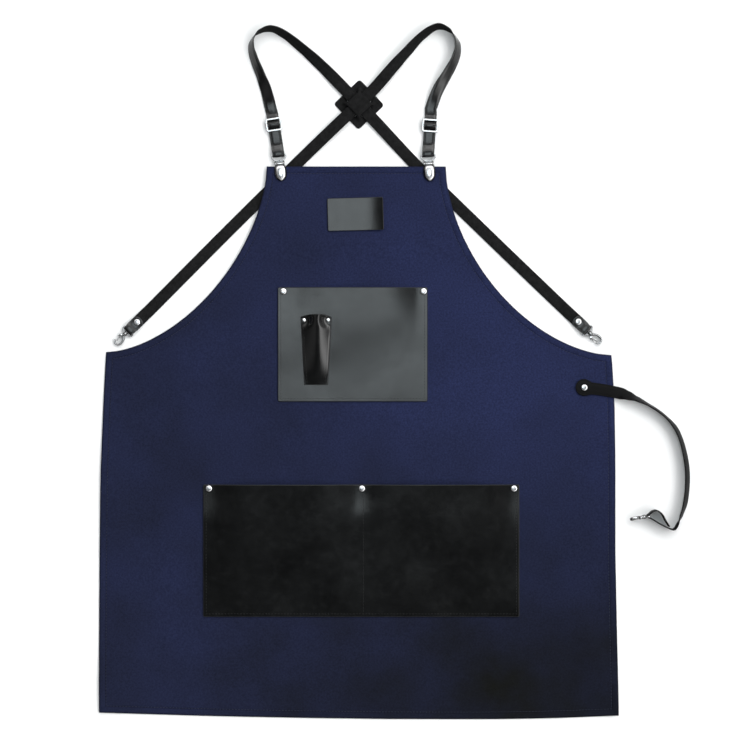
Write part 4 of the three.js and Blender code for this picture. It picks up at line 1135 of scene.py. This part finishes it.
class APRON_OT_canvas(Operator):
    """Lays the canvas body with its turned and stitched hem"""

    bl_idname = "apron.canvas"
    bl_label = "Canvas body"

    def execute(self, context):
        outline = apron_outline()
        bm = cut_sheet(outline, CANVAS_BANDS, sizes().canvas_cell)
        lay(bm, canvas_face)
        body = publish("canvas_body", bm, [finish("navy_canvas")], ["apron_body"])
        solidify(body, CANVAS)
        sewing = bmesh.new()
        stitch_path(sewing, inset_path(outline, CANVAS_STITCH_LINE), canvas_face)
        thread = publish("hem_stitches", sewing, [finish("navy_thread")])
        return {"FINISHED"}


# Leather panels


def sewn_panel(name, outline, under, rows, cell, wave_share=1.0, wall=LEATHER):
    """A leather panel with a rounded lip and any rows of black stitches."""

    def face(x, y):
        return under(x, y) + LEATHER + wave_share * waves(x, y, HIDE_WAVES)

    bm = cut_sheet(outline, LEATHER_BANDS, cell)
    lay(bm, face)
    panel = publish(f"{name}_leather", bm, [finish("pocket_black")], [name])
    solidify(panel, wall)
    if rows:
        sewing = bmesh.new()
        for row in rows:
            stitch_path(sewing, row, face, closed=False)
        publish(f"{name}_stitches", sewing, [finish("black_thread")])


def pocket_rows(pocket):
    """Stitches down one side of a pocket, along its bottom and up the other side."""
    line = LEATHER_STITCH_LINE
    left = pocket["left"] + line
    right = pocket["right"] - line
    bottom = pocket["bottom"] + line
    top = pocket["top"] - line
    return [(left, top), (left, bottom), (right, bottom), (right, top)]


class APRON_OT_label(Operator):
    """Lays the bare leather label on the bib, its right end curling up a little"""

    bl_idname = "apron.label"
    bl_label = "Label patch"

    def execute(self, context):
        half = (LABEL["width"] / 2, LABEL["height"] / 2)
        turn = Matrix.Rotation(LABEL["turn"], 2)
        middle = Vector((LABEL["x"], LABEL["y"]))
        outline = [middle + turn @ Vector(p) for p in panel_outline(-half[0], half[0], -half[1], half[1])]

        def under(x, y):
            curl = max(0.0, (x - LABEL["x"] - LABEL_CURL["from"]) / LABEL_CURL["over"])
            return canvas_face(x, y) + SEAT + LABEL_CURL["lift"] * curl ** 2

        sewn_panel("label_patch", outline, under, [], LABEL["cell"], LABEL["waves"])
        return {"FINISHED"}


class APRON_OT_pockets(Operator):
    """Sews the chest pocket and the wide lower pocket"""

    bl_idname = "apron.pockets"
    bl_label = "Pockets"

    def execute(self, context):
        seam_x = LOWER_POSTS[1][0] + LOWER_SEAM["shift"]
        seam_top = LOWER["top"] - LOWER_SEAM["top"]
        seam = [(seam_x, seam_top), (seam_x, LOWER["bottom"] + LEATHER_STITCH_LINE)]
        jobs = (
            ("chest_pocket", CHEST, chest_under, [pocket_rows(CHEST)]),
            ("lower_pocket", LOWER, lower_under, [pocket_rows(LOWER), seam]),
        )
        for name, pocket, under, rows in jobs:
            outline = panel_outline(pocket["left"], pocket["right"], pocket["bottom"], pocket["top"])
            sewn_panel(name, outline, under, rows, sizes().leather_cell)
        return {"FINISHED"}


class APRON_OT_sleeve(Operator):
    """Forms the scissor sleeve on the chest pocket"""

    bl_idname = "apron.sleeve"
    bl_label = "Scissor sleeve"

    def execute(self, context):
        middle = SLEEVE["x"]
        low = SLEEVE["half_bottom"]
        high = SLEEVE["half_top"]
        outline = [(middle - low, SLEEVE["bottom"]), (middle + low, SLEEVE["bottom"])]
        for step in range(SLEEVE_ARCH_STEPS + 1):
            across = 1 - 2 * step / SLEEVE_ARCH_STEPS
            outline.append((middle + across * high, SLEEVE["top"] + SLEEVE["arch"] * (1 - across ** 2)))
        line = LEATHER_STITCH_LINE
        foot = SLEEVE["bottom"] + line
        head = SLEEVE["top"] - SLEEVE["stitch_top"]
        left = [(middle - high + line, head), (middle - low + line, foot)]
        right = [(middle + low - line, foot), (middle + high - line, head)]
        sewn_panel(
            "scissor_sleeve", outline, sleeve_under, [left, right],
            SLEEVE["cell"], SLEEVE["waves"], LEATHER + SLEEVE_PACKING,
        )
        return {"FINISHED"}


# Straps


def spline(points, steps):
    """Points of a centripetal curve through the given points."""
    ends = [2 * points[0] - points[1], *points, 2 * points[-1] - points[-2]]
    curve = []
    for index in range(1, len(ends) - 2):
        p0, p1, p2, p3 = ends[index - 1:index + 3]
        d0, d1, d2 = (math.sqrt((b - a).length) for a, b in ((p0, p1), (p1, p2), (p2, p3)))
        leave = ((p1 - p0) / d0 - (p2 - p0) / (d0 + d1) + (p2 - p1) / d1) * d1
        arrive = ((p2 - p1) / d1 - (p3 - p1) / (d1 + d2) + (p3 - p2) / d2) * d1
        for step in range(steps):
            t = step / steps
            start = p1 * (2 * t ** 3 - 3 * t ** 2 + 1) + leave * (t ** 3 - 2 * t ** 2 + t)
            curve.append(start + p2 * (3 * t ** 2 - 2 * t ** 3) + arrive * (t ** 3 - t ** 2))
    curve.append(points[-1].copy())
    return curve


def laid_stations(rows, hand, steps):
    """Middle, side and width of a strap that rolls towards the inside of its bend, on its lower edge."""
    path = spline(flat_points(rows), steps)
    stations = []
    for index, at in enumerate(path):
        ahead = ahead_at(path, index)
        row = min(index // steps, len(rows) - 2)
        share = smooth_ramp(index / steps - row, 0, 1)
        turn = math.radians(mixed(rows[row][2], rows[row + 1][2], share))
        rise = mixed(rows[row][3], rows[row + 1][3], share)
        flat = hand * math.cos(turn)
        side = Vector((ahead.y * flat, -ahead.x * flat, math.sin(turn)))
        height = FLOOR_GAP + rise + (math.sin(turn) * STRAP_WIDTH + abs(math.cos(turn)) * STRAP) / 2
        stations.append((Vector((at.x, at.y, height)), side, STRAP_WIDTH))
    return stations


def fold_stations(bar, outward, upward, radius, side, width):
    """Half a turn round a bar, from its lower side to its upper side."""
    stations = []
    for step in range(FOLD_STEPS + 1):
        angle = math.pi * (step / FOLD_STEPS - 0.5)
        at = bar + outward * radius * math.cos(angle) + upward * radius * math.sin(angle)
        stations.append((at, side, width))
    return stations


def eased(stations, steps):
    """Adds stations on a smooth curve between sparse ones."""
    path = spline([station[0] for station in stations], steps)
    dense = []
    for index, at in enumerate(path):
        row = min(index // steps, len(stations) - 2)
        share = index / steps - row
        side = stations[row][1].lerp(stations[row + 1][1], share)
        dense.append((at, side, mixed(stations[row][2], stations[row + 1][2], share)))
    return dense


def joint_line(name):
    """Place and direction of a packed joint."""
    joint = next(row for row in frame["joints"] if row["name"] == name)
    return Vector(joint["pos_m"]), Vector(joint["axis"]).normalized()


def clip_axes(name):
    """Place and axes of a bib clip, from its jaw's hinge: origin on the floor under the eye bar."""
    at, axis = joint_line(f"clip_jaw_{name}_hinge")
    return placed(at, -axis, axis.cross(UP), UP) @ Matrix.Translation(-CLIP_PIN)


def slider_place(name):
    low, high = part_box(f"slider_{name}")
    return Matrix.Translation((low + high) / 2) @ Matrix.Rotation(SLIDER_TILTS[name], 4, "Z")


def hook_axes(name):
    """Place and axes of a snap hook, from its joints: origin on the eye bar, y along the hook."""
    at, along = joint_line(f"hook_{name}_swivel")
    _, broad = joint_line(f"hook_{name}_gate")
    return placed(at - along * SWIVEL_FROM_BAR, along.cross(broad), along, broad)


def loop_stations(name):
    """From the sewn end under the slider, round the clip's eye bar, and back up through the slider."""
    hand = HANDS[name]
    clip = clip_axes(name)
    slider = slider_place(name)
    bar = clip.translation + UP * CLIP_BAR_Z - ORIGIN
    middle = slider.translation - ORIGIN
    middle.z = 0
    toward = Vector((middle.x - bar.x, middle.y - bar.y, 0))
    span = toward.length
    toward.normalize()
    clip_side = clip.to_3x3().col[0] * hand
    slider_side = slider.to_3x3().col[0] * hand

    def station(along, height):
        side = slider_side.lerp(clip_side, min(1.0, abs(along) / span))
        return middle + toward * along + UP * height, side, STRAP_WIDTH

    sewn_end = (
        (0.0016, UNDER_BAR_Z - 0.0002),
        (-0.0018, UNDER_BAR_Z - 0.0002),
        (-0.0060, STRAP / 2),
        (0.0080 - span, STRAP / 2),
        (0.0030 - span, STRAP / 2),
    )
    coming_back = (
        (0.0040 - span, CLIP_BAR_Z + FOLD_RADIUS - 0.0003),
        (0.0085 - span, SLIDER_Z + 0.0006),
        (0.0130 - span, UNDER_BAR_Z + 0.0002),
    )
    fold = fold_stations(bar, -clip.to_3x3().col[1], UP, FOLD_RADIUS, clip_side, STRAP_WIDTH)
    first = eased([station(*row) for row in sewn_end], 4)
    second = eased([station(*row) for row in coming_back + WEAVE], 4)
    return first + fold + second


def tab_stations(name):
    """Folded waist end of a shoulder strap, round its hook's bar and back on top of itself."""
    hook = hook_axes(TAB_HOOKS[name])
    ahead = hook.to_3x3().col[1]
    side = UP.cross(ahead) * HANDS[name]
    bar = hook.translation - ORIGIN
    foot = Vector((bar.x, bar.y, 0))

    def station(back, height, width):
        return foot - ahead * back + UP * height, side, width

    fold = fold_stations(bar, ahead, UP, HOOK_FOLD, side, NECK_WIDTH)
    first = eased([station(*row) for row in TAB_LOW_ROWS], 4)
    second = eased([station(*row) for row in TAB_HIGH_ROWS], 3)
    return first + fold + second


def strap_section():
    """The strap's section: both faces with a crease near each edge."""
    quarter = flat_points(STRAP_SECTION)
    upper = quarter + [Vector((-p.x, p.y, 0)) for p in reversed(quarter)]
    return upper + [Vector((p.x, -p.y, 0)) for p in reversed(upper)]


def strap_piece(name, stations, hand, face_finish="strap_black"):
    """A strap swept along its stations, with a smooth face and a rough back."""
    points = [station[0] for station in stations]
    matrices = []
    for index, (at, side, width) in enumerate(stations):
        ahead = ahead_at(points, index)
        across = (side - ahead * side.dot(ahead)).normalized()
        matrices.append(placed(at + ORIGIN, across * width / STRAP_WIDTH, across.cross(ahead), ahead))
    bm = bmesh.new()
    back = bm.verts.layers.float.new("back")
    sweep(bm, strap_section(), matrices, back=back, hand=hand)
    face_out(bm)
    for face in bm.faces:
        face.material_index = round(sum(vert[back] for vert in face.verts) / len(face.verts) - 0.1)
    finishes = [finish(face_finish), finish("strap_suede")]
    publish(f"{name}_leather", bm, finishes, [name], sharp=60)


class APRON_OT_shoulder_straps(Operator):
    """Lays both shoulder straps, from their clips over the shoulders to the far waist hooks"""

    bl_idname = "apron.shoulder_straps"
    bl_label = "Shoulder straps"

    def execute(self, context):
        for name, hand in HANDS.items():
            run = laid_stations(SHOULDER_RUNS[name], hand, sizes().strap_steps)
            strap_piece(f"shoulder_strap_{name}", loop_stations(name) + run + tab_stations(name), hand)
        return {"FINISHED"}


class APRON_OT_waist_strap(Operator):
    """Lays the waist strap, from its riveted end round to its hook"""

    bl_idname = "apron.waist_strap"
    bl_label = "Waist strap"

    def execute(self, context):
        ahead = ahead_at(flat_points(WAIST_RUN), 0)
        post = Vector((*WAIST_POST, WAIST_FLAT_RISE + FLOOR_GAP + STRAP / 2))
        side = Vector((ahead.y, -ahead.x, 0))
        root = eased([(post + ahead * along, side, width) for along, width in WAIST_ROOT], 3)
        hook = hook_axes("waist")
        heading = hook.to_3x3().col[1]
        upward = Vector((heading.y, -heading.x, 0))
        fold = fold_stations(hook.translation - ORIGIN, heading, upward, HOOK_FOLD, UP, NECK_WIDTH)
        run = laid_stations(WAIST_RUN, 1, sizes().strap_steps)
        back = laid_stations(WAIST_RETURN, 1, sizes().strap_steps)
        strap_piece("waist_strap", root + run + fold + back, 1, "waist_black")
        return {"FINISHED"}


class APRON_OT_cross_patch(Operator):
    """Forms the slit leather patch where the straps cross"""

    bl_idname = "apron.cross_patch"
    bl_label = "Cross patch"

    def execute(self, context):
        half = PATCH["half"]
        start, end, reach = PATCH_SLIT["from"], PATCH_SLIT["to"], PATCH_SLIT["reach"]
        lines = [sign * line for line in (reach, start, end) for sign in (-1, 1)]
        outline = panel_outline(-half, half, -half, half, PATCH["corner"])
        bm = cut_sheet(outline, LEATHER_BANDS, PATCH["cell"], lines)

        def in_slit(across, along):
            return start < abs(across) < end and abs(along) < reach

        middles = [(face, face.calc_center_median()) for face in bm.faces]
        slits = [face for face, at in middles if in_slit(at.x, at.y) or in_slit(at.y, at.x)]
        bmesh.ops.delete(bm, geom=slits, context="FACES")
        relief = bm.verts.layers.float["relief"]
        for vert in bm.verts:
            far = max(abs(vert.co.x), abs(vert.co.y))
            near = min(abs(vert.co.x), abs(vert.co.y))
            if far <= start + 1e-5:
                height = PATCH_Z + PATCH["puff"] * (1 - (far / start) ** 2)
            else:
                step = 1 - smooth_ramp(far, start, start + PATCH["step"])
                height = PATCH_Z * step * smooth_ramp(near, reach, start)
            vert.co.z = height + LEATHER + vert[relief]
        place = Matrix.Translation(ORIGIN + Vector((PATCH["x"], PATCH["y"], 0)))
        bmesh.ops.transform(bm, matrix=place @ Matrix.Rotation(PATCH["turn"], 4, "Z"), verts=bm.verts)
        patch = publish("cross_patch_leather", bm, [finish("strap_suede")], ["cross_patch"])
        solidify(patch, LEATHER)
        return {"FINISHED"}


# Fittings


def metal_piece(node, bm, body=MAIN_BODY, shade=1.0):
    """Publishes a plated piece, with its surface's steepness times a shade at each point, where its finish
    paints shade.
    """
    face_out(bm)
    bm.normal_update()
    steep_shade = bm.verts.layers.float.new("steep_shade")
    for vert in bm.verts:
        vert[steep_shade] = shade * (1 - max(0.0, vert.normal.z))
    publish(f"{node}_metal", bm, [finish("bright_plating")], [node], body, sharp=50)


def formed(node, make, place, body=MAIN_BODY, shade=1.0):
    """Makes a fitting in its own axes, moves it to its place and publishes it."""
    bm = bmesh.new()
    make(bm)
    bmesh.ops.transform(bm, matrix=place, verts=bm.verts)
    metal_piece(node, bm, body, shade)


class APRON_OT_rivets(Operator):
    """Turns every rivet: a domed cap, a post and a back plate"""

    bl_idname = "apron.rivets"
    bl_label = "Rivets"

    def execute(self, context):
        names = [name for name in frame["nodes"] if "_rivet" in name]
        for name in sorted(names):
            low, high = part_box(name)
            cap, dome = SMALL_RIVET if name.startswith("sleeve") else LARGE_RIVET
            back = cap * RIVET_BACK_SHARE
            post = cap * RIVET_POST_SHARE
            height = high.z - low.z
            profile = [(0, 0), (back - 0.0002, 0), (back, 0.0002), (back, RIVET_BACK_WALL)]
            profile += [(post, RIVET_BACK_WALL), (post, height - dome), (cap - 0.0001, height - dome)]
            profile += [(cap * radius, height - dome * (1 - rise)) for radius, rise in RIVET_CAP]
            bm = bmesh.new()
            turned(bm, profile, Matrix.Translation(((low.x + high.x) / 2, (low.y + high.y) / 2, low.z)))
            metal_piece(name, bm)
        return {"FINISHED"}


def slider_bars(bm):
    """Rim and middle bar of a slider, in its own axes."""
    half = SLIDER["half_width"]
    length = SLIDER["half_length"]
    rim = panel_outline(-half, half, -length, length, SLIDER["corner"], SLIDER["corner_steps"])
    bar(bm, "slider_rim", flat_points(rim), closed=True)
    bar(bm, "slider_bar", flat_points(((-half, 0), (0, 0), (half, 0))))


class APRON_OT_sliders(Operator):
    """Forms the three-bar sliders of the shoulder straps"""

    bl_idname = "apron.sliders"
    bl_label = "Sliders"

    def execute(self, context):
        for name in HANDS:
            formed(f"slider_{name}", slider_bars, slider_place(name))
        return {"FINISHED"}


def on_pin(x, y=0.0, z=0.0):
    """A point of a bib clip, measured from the middle of its pin."""
    return CLIP_PIN + Vector((x, y, z))


def clip_frame(bm):
    """Eye, back plate, ears and pin of a bib clip, in the clip's own axes."""
    bar(bm, "clip_eye", flat_points(CLIP_EYE, CLIP_BAR_Z), closed=True)
    for sign in (-1, 1):
        rod(bm, on_pin(sign * CLIP_EAR["inner"]), on_pin(sign * CLIP_EAR["outer"]), CLIP_KNUCKLE["radius"])
        ear = [on_pin(sign * CLIP_EAR["x"], y, z) for y, z in CLIP_EAR_LINE]
        bar(bm, "clip_ear", ear, Vector((1, 0, 0)))
    rod(bm, on_pin(-CLIP_PIN_ROD["half"]), on_pin(CLIP_PIN_ROD["half"]), CLIP_PIN_ROD["radius"])
    bar(bm, "clip_tongue", [Vector((0, y, z)) for y, z in CLIP_TONGUE])
    stations = path_stations([Vector((0, y, CLIP_PLATE_Z)) for y, _ in CLIP_PLATE], UP)
    wide = [station @ Matrix.Diagonal((half, 1, 1, 1)) for station, (_, half) in zip(stations, CLIP_PLATE)]
    sweep(bm, oval(*SECTIONS["clip_plate"]), wide)


def clip_jaw(bm):
    """Domed cover, knuckle and boss of a bib clip, in the clip's own axes."""
    path = spline([Vector(row) for row in JAW_ROWS], JAW_STEPS)
    count = len(path) - 1
    flat, round_off = JAW_DOME_POWERS
    bmesh.ops.create_grid(bm, x_segments=JAW_STEPS_ACROSS, y_segments=count, size=0.5)
    for vert in bm.verts:
        across = 2 * vert.co.x
        down, half, crown = path[round((vert.co.y + 0.5) * count)]
        height = JAW_RIM + JAW_WALL + crown * max(0.0, 1 - abs(across) ** flat) ** round_off
        vert.co = Vector((-across * half, -down, height))
    face_out(bm)
    bmesh.ops.solidify(bm, geom=bm.faces[:], thickness=JAW_WALL * 0.9)
    half = CLIP_KNUCKLE["half"]
    rod(bm, on_pin(-half), on_pin(half), CLIP_KNUCKLE["radius"], CLIP_KNUCKLE["rounding"])
    bar(bm, "jaw_web", [on_pin(0, y, z) for y, z in JAW_WEB_LINE])
    turned(bm, JAW_BOSS, Matrix.Translation(JAW_BOSS_FOOT), 20)


class APRON_OT_bib_clips(Operator):
    """Forms the bib clips: a frame with the strap's eye, and a domed jaw on a pin"""

    bl_idname = "apron.bib_clips"
    bl_label = "Bib clips"

    def execute(self, context):
        for name in HANDS:
            place = clip_axes(name)
            formed(f"bib_clip_frame_{name}", clip_frame, place, MAIN_BODY, CLIP_SHADE)
            formed(f"bib_clip_jaw_{name}", clip_jaw, place, f"clip_jaw_{name}", CLIP_SHADE)
        return {"FINISHED"}


def hook_eye(bm):
    """Eye and collar of a snap hook."""
    bar(bm, "hook_eye", flat_points(HOOK_EYE), closed=True)
    turned(bm, HOOK_COLLAR, ALONG_HOOK, 24)


def pivot_rod(bm, rod_size):
    """A round bar on the pivot of a snap hook's gate."""
    half = UP * rod_size["half"]
    rod(bm, HOOK_PIVOT - half, HOOK_PIVOT + half, rod_size["radius"])


def hook_claw(bm):
    """Stem, spine and bow of a snap hook, with the pin for its gate."""
    turned(bm, HOOK_STEM, ALONG_HOOK, 24)
    arc = []
    for step in range(BOW_STEPS + 1):
        angle = math.radians(mixed(*BOW_ANGLES, step / BOW_STEPS))
        arc.append(BOW_CENTRE + BOW_RADIUS * Vector((math.cos(angle), math.sin(angle), 0)))
    path = spline(flat_points(HOOK_SPINE) + arc, 3)
    bar(bm, "claw", path, scales=taper(*CLAW_TAPER, len(path)))
    for sign in (-1, 1):
        inner = HOOK_PIVOT + UP * sign * CLAW_CHEEK["inner"]
        outer = HOOK_PIVOT + UP * sign * CLAW_CHEEK["outer"]
        rod(bm, inner, outer, CLAW_CHEEK["radius"])
        bar(bm, "claw_arm", [Vector((at.x, at.y, sign * at.z)) for at in (CLAW_ARM_FOOT, CLAW_ARM_HEAD)])
    pivot_rod(bm, GATE_PIN)


def hook_gate(bm):
    """Gate of a snap hook, with its knuckle and thumb tab."""
    pivot_rod(bm, GATE_KNUCKLE)
    lever = [HOOK_PIVOT.lerp(GATE_TIP, step / GATE_STEPS) for step in range(GATE_STEPS + 1)]
    bar(bm, "gate", lever, scales=taper(*GATE_TAPER, len(lever)))
    bar(bm, "gate_tab", flat_points(HOOK_TAB))


class APRON_OT_snap_hooks(Operator):
    """Forms the swivel snap hooks: eye, claw and gate"""

    bl_idname = "apron.snap_hooks"
    bl_label = "Snap hooks"

    def execute(self, context):
        for name, shade in HOOK_SHADES.items():
            place = hook_axes(name)
            formed(f"hook_eye_{name}", hook_eye, place, MAIN_BODY, shade)
            formed(f"hook_claw_{name}", hook_claw, place, f"claw_{name}", shade)
            formed(f"hook_gate_{name}", hook_gate, place, f"gate_{name}", shade)
        return {"FINISHED"}


# Stage


def studio_world(stage):
    """Light from a high ring, most of it from the upper right, under a ceiling that keeps leather black."""
    world = bpy.data.worlds.new("studio")
    world.use_nodes = True
    tree = world.node_tree
    place = add_node(tree, "ShaderNodeTexCoord").outputs["Generated"]
    x, y, z = add_node(tree, "ShaderNodeSeparateXYZ", vector=place).outputs
    below_ceiling = between(tree, z, 0.90, 0.80, 0.01, 1.0)
    over_horizon = between(tree, z, 0.40, 0.70, 0.12, 1.0)
    ring = combine(tree, "MULTIPLY", below_ceiling, over_horizon)
    side = weighted(tree, x, 0.75, y, 0.50)
    toward_key = between(tree, side, -0.5, 0.7, stage.dim_side, stage.bright_side)
    background = tree.nodes["Background"]
    feed(tree, background.inputs["Strength"], combine(tree, "MULTIPLY", ring, toward_key))
    feed(tree, background.inputs["Color"], (1.0, 1.0, 1.0))
    bpy.context.scene.world = world


def overhead_panel(power):
    """A flat lamp over the bib that shines straight down."""
    lamp = bpy.data.lights.new("overhead_panel", "AREA")
    lamp.shape = "RECTANGLE"
    lamp.size, lamp.size_y = PANEL_SIZE
    lamp.energy = power
    lamp.color = PANEL_TINT
    panel = add_object("overhead_panel", lamp)
    panel.location = PANEL_CENTRE
    panel.rotation_euler = (0, 0, PANEL_TURN)
    panel.visible_camera = False


def pale_floor():
    """A wide matt floor."""
    bm = bmesh.new()
    bmesh.ops.create_grid(bm, x_segments=2, y_segments=2, size=FLOOR_HALF)
    material, _ = new_material("pale_floor")
    paint = dressed(material, {"Base Color": FLOOR_WHITE, "Roughness": 0.9})
    add_object("stage_floor", new_mesh("stage_floor", bm, [paint]))


class APRON_OT_stage(Operator):
    """Sets the pale floor, the studio light and the camera straight above"""

    bl_idname = "apron.stage"
    bl_label = "Stage"

    def execute(self, context):
        stage = context.scene.apron_stage
        lens = bpy.data.cameras.new("camera")
        lens.lens = lens.sensor_width * stage.camera_height / stage.view_width
        camera = add_object("camera", lens)
        camera.location = ORIGIN + VIEW_CENTRE + UP * stage.camera_height
        context.scene.camera = camera
        context.scene.view_settings.view_transform = "Standard"
        pale_floor()
        studio_world(stage)
        overhead_panel(stage.overhead_light)
        return {"FINISHED"}


class APRON_PT_panel(Panel):
    """Lists the steps that build the apron"""

    bl_label = "Barber Apron"
    bl_idname = "APRON_PT_panel"
    bl_space_type = "VIEW_3D"
    bl_region_type = "UI"
    bl_category = "Apron"

    def draw(self, context):
        for group in (context.scene.apron_sizes, context.scene.apron_colours, context.scene.apron_stage):
            for name in group.__annotations__:
                self.layout.prop(group, name)
        for operator in STEPS:
            self.layout.operator(operator.bl_idname)


STEPS = (
    APRON_OT_stage,
    APRON_OT_canvas,
    APRON_OT_label,
    APRON_OT_pockets,
    APRON_OT_sleeve,
    APRON_OT_shoulder_straps,
    APRON_OT_waist_strap,
    APRON_OT_cross_patch,
    APRON_OT_rivets,
    APRON_OT_sliders,
    APRON_OT_bib_clips,
    APRON_OT_snap_hooks,
)
GROUPS = {"apron_sizes": ApronSizes, "apron_colours": ApronColours, "apron_stage": ApronStage}
CLASSES = (*GROUPS.values(), *STEPS, APRON_PT_panel)


def register():
    for cls in CLASSES:
        bpy.utils.register_class(cls)
    for name, group in GROUPS.items():
        setattr(bpy.types.Scene, name, PointerProperty(type=group))


def unregister():
    for name in GROUPS:
        delattr(bpy.types.Scene, name)
    for cls in reversed(CLASSES):
        bpy.utils.unregister_class(cls)


def main():
    register()
    for operator in STEPS:
        area, step = operator.bl_idname.split(".")
        getattr(getattr(bpy.ops, area), step)()


if __name__ == "__main__":
    main()
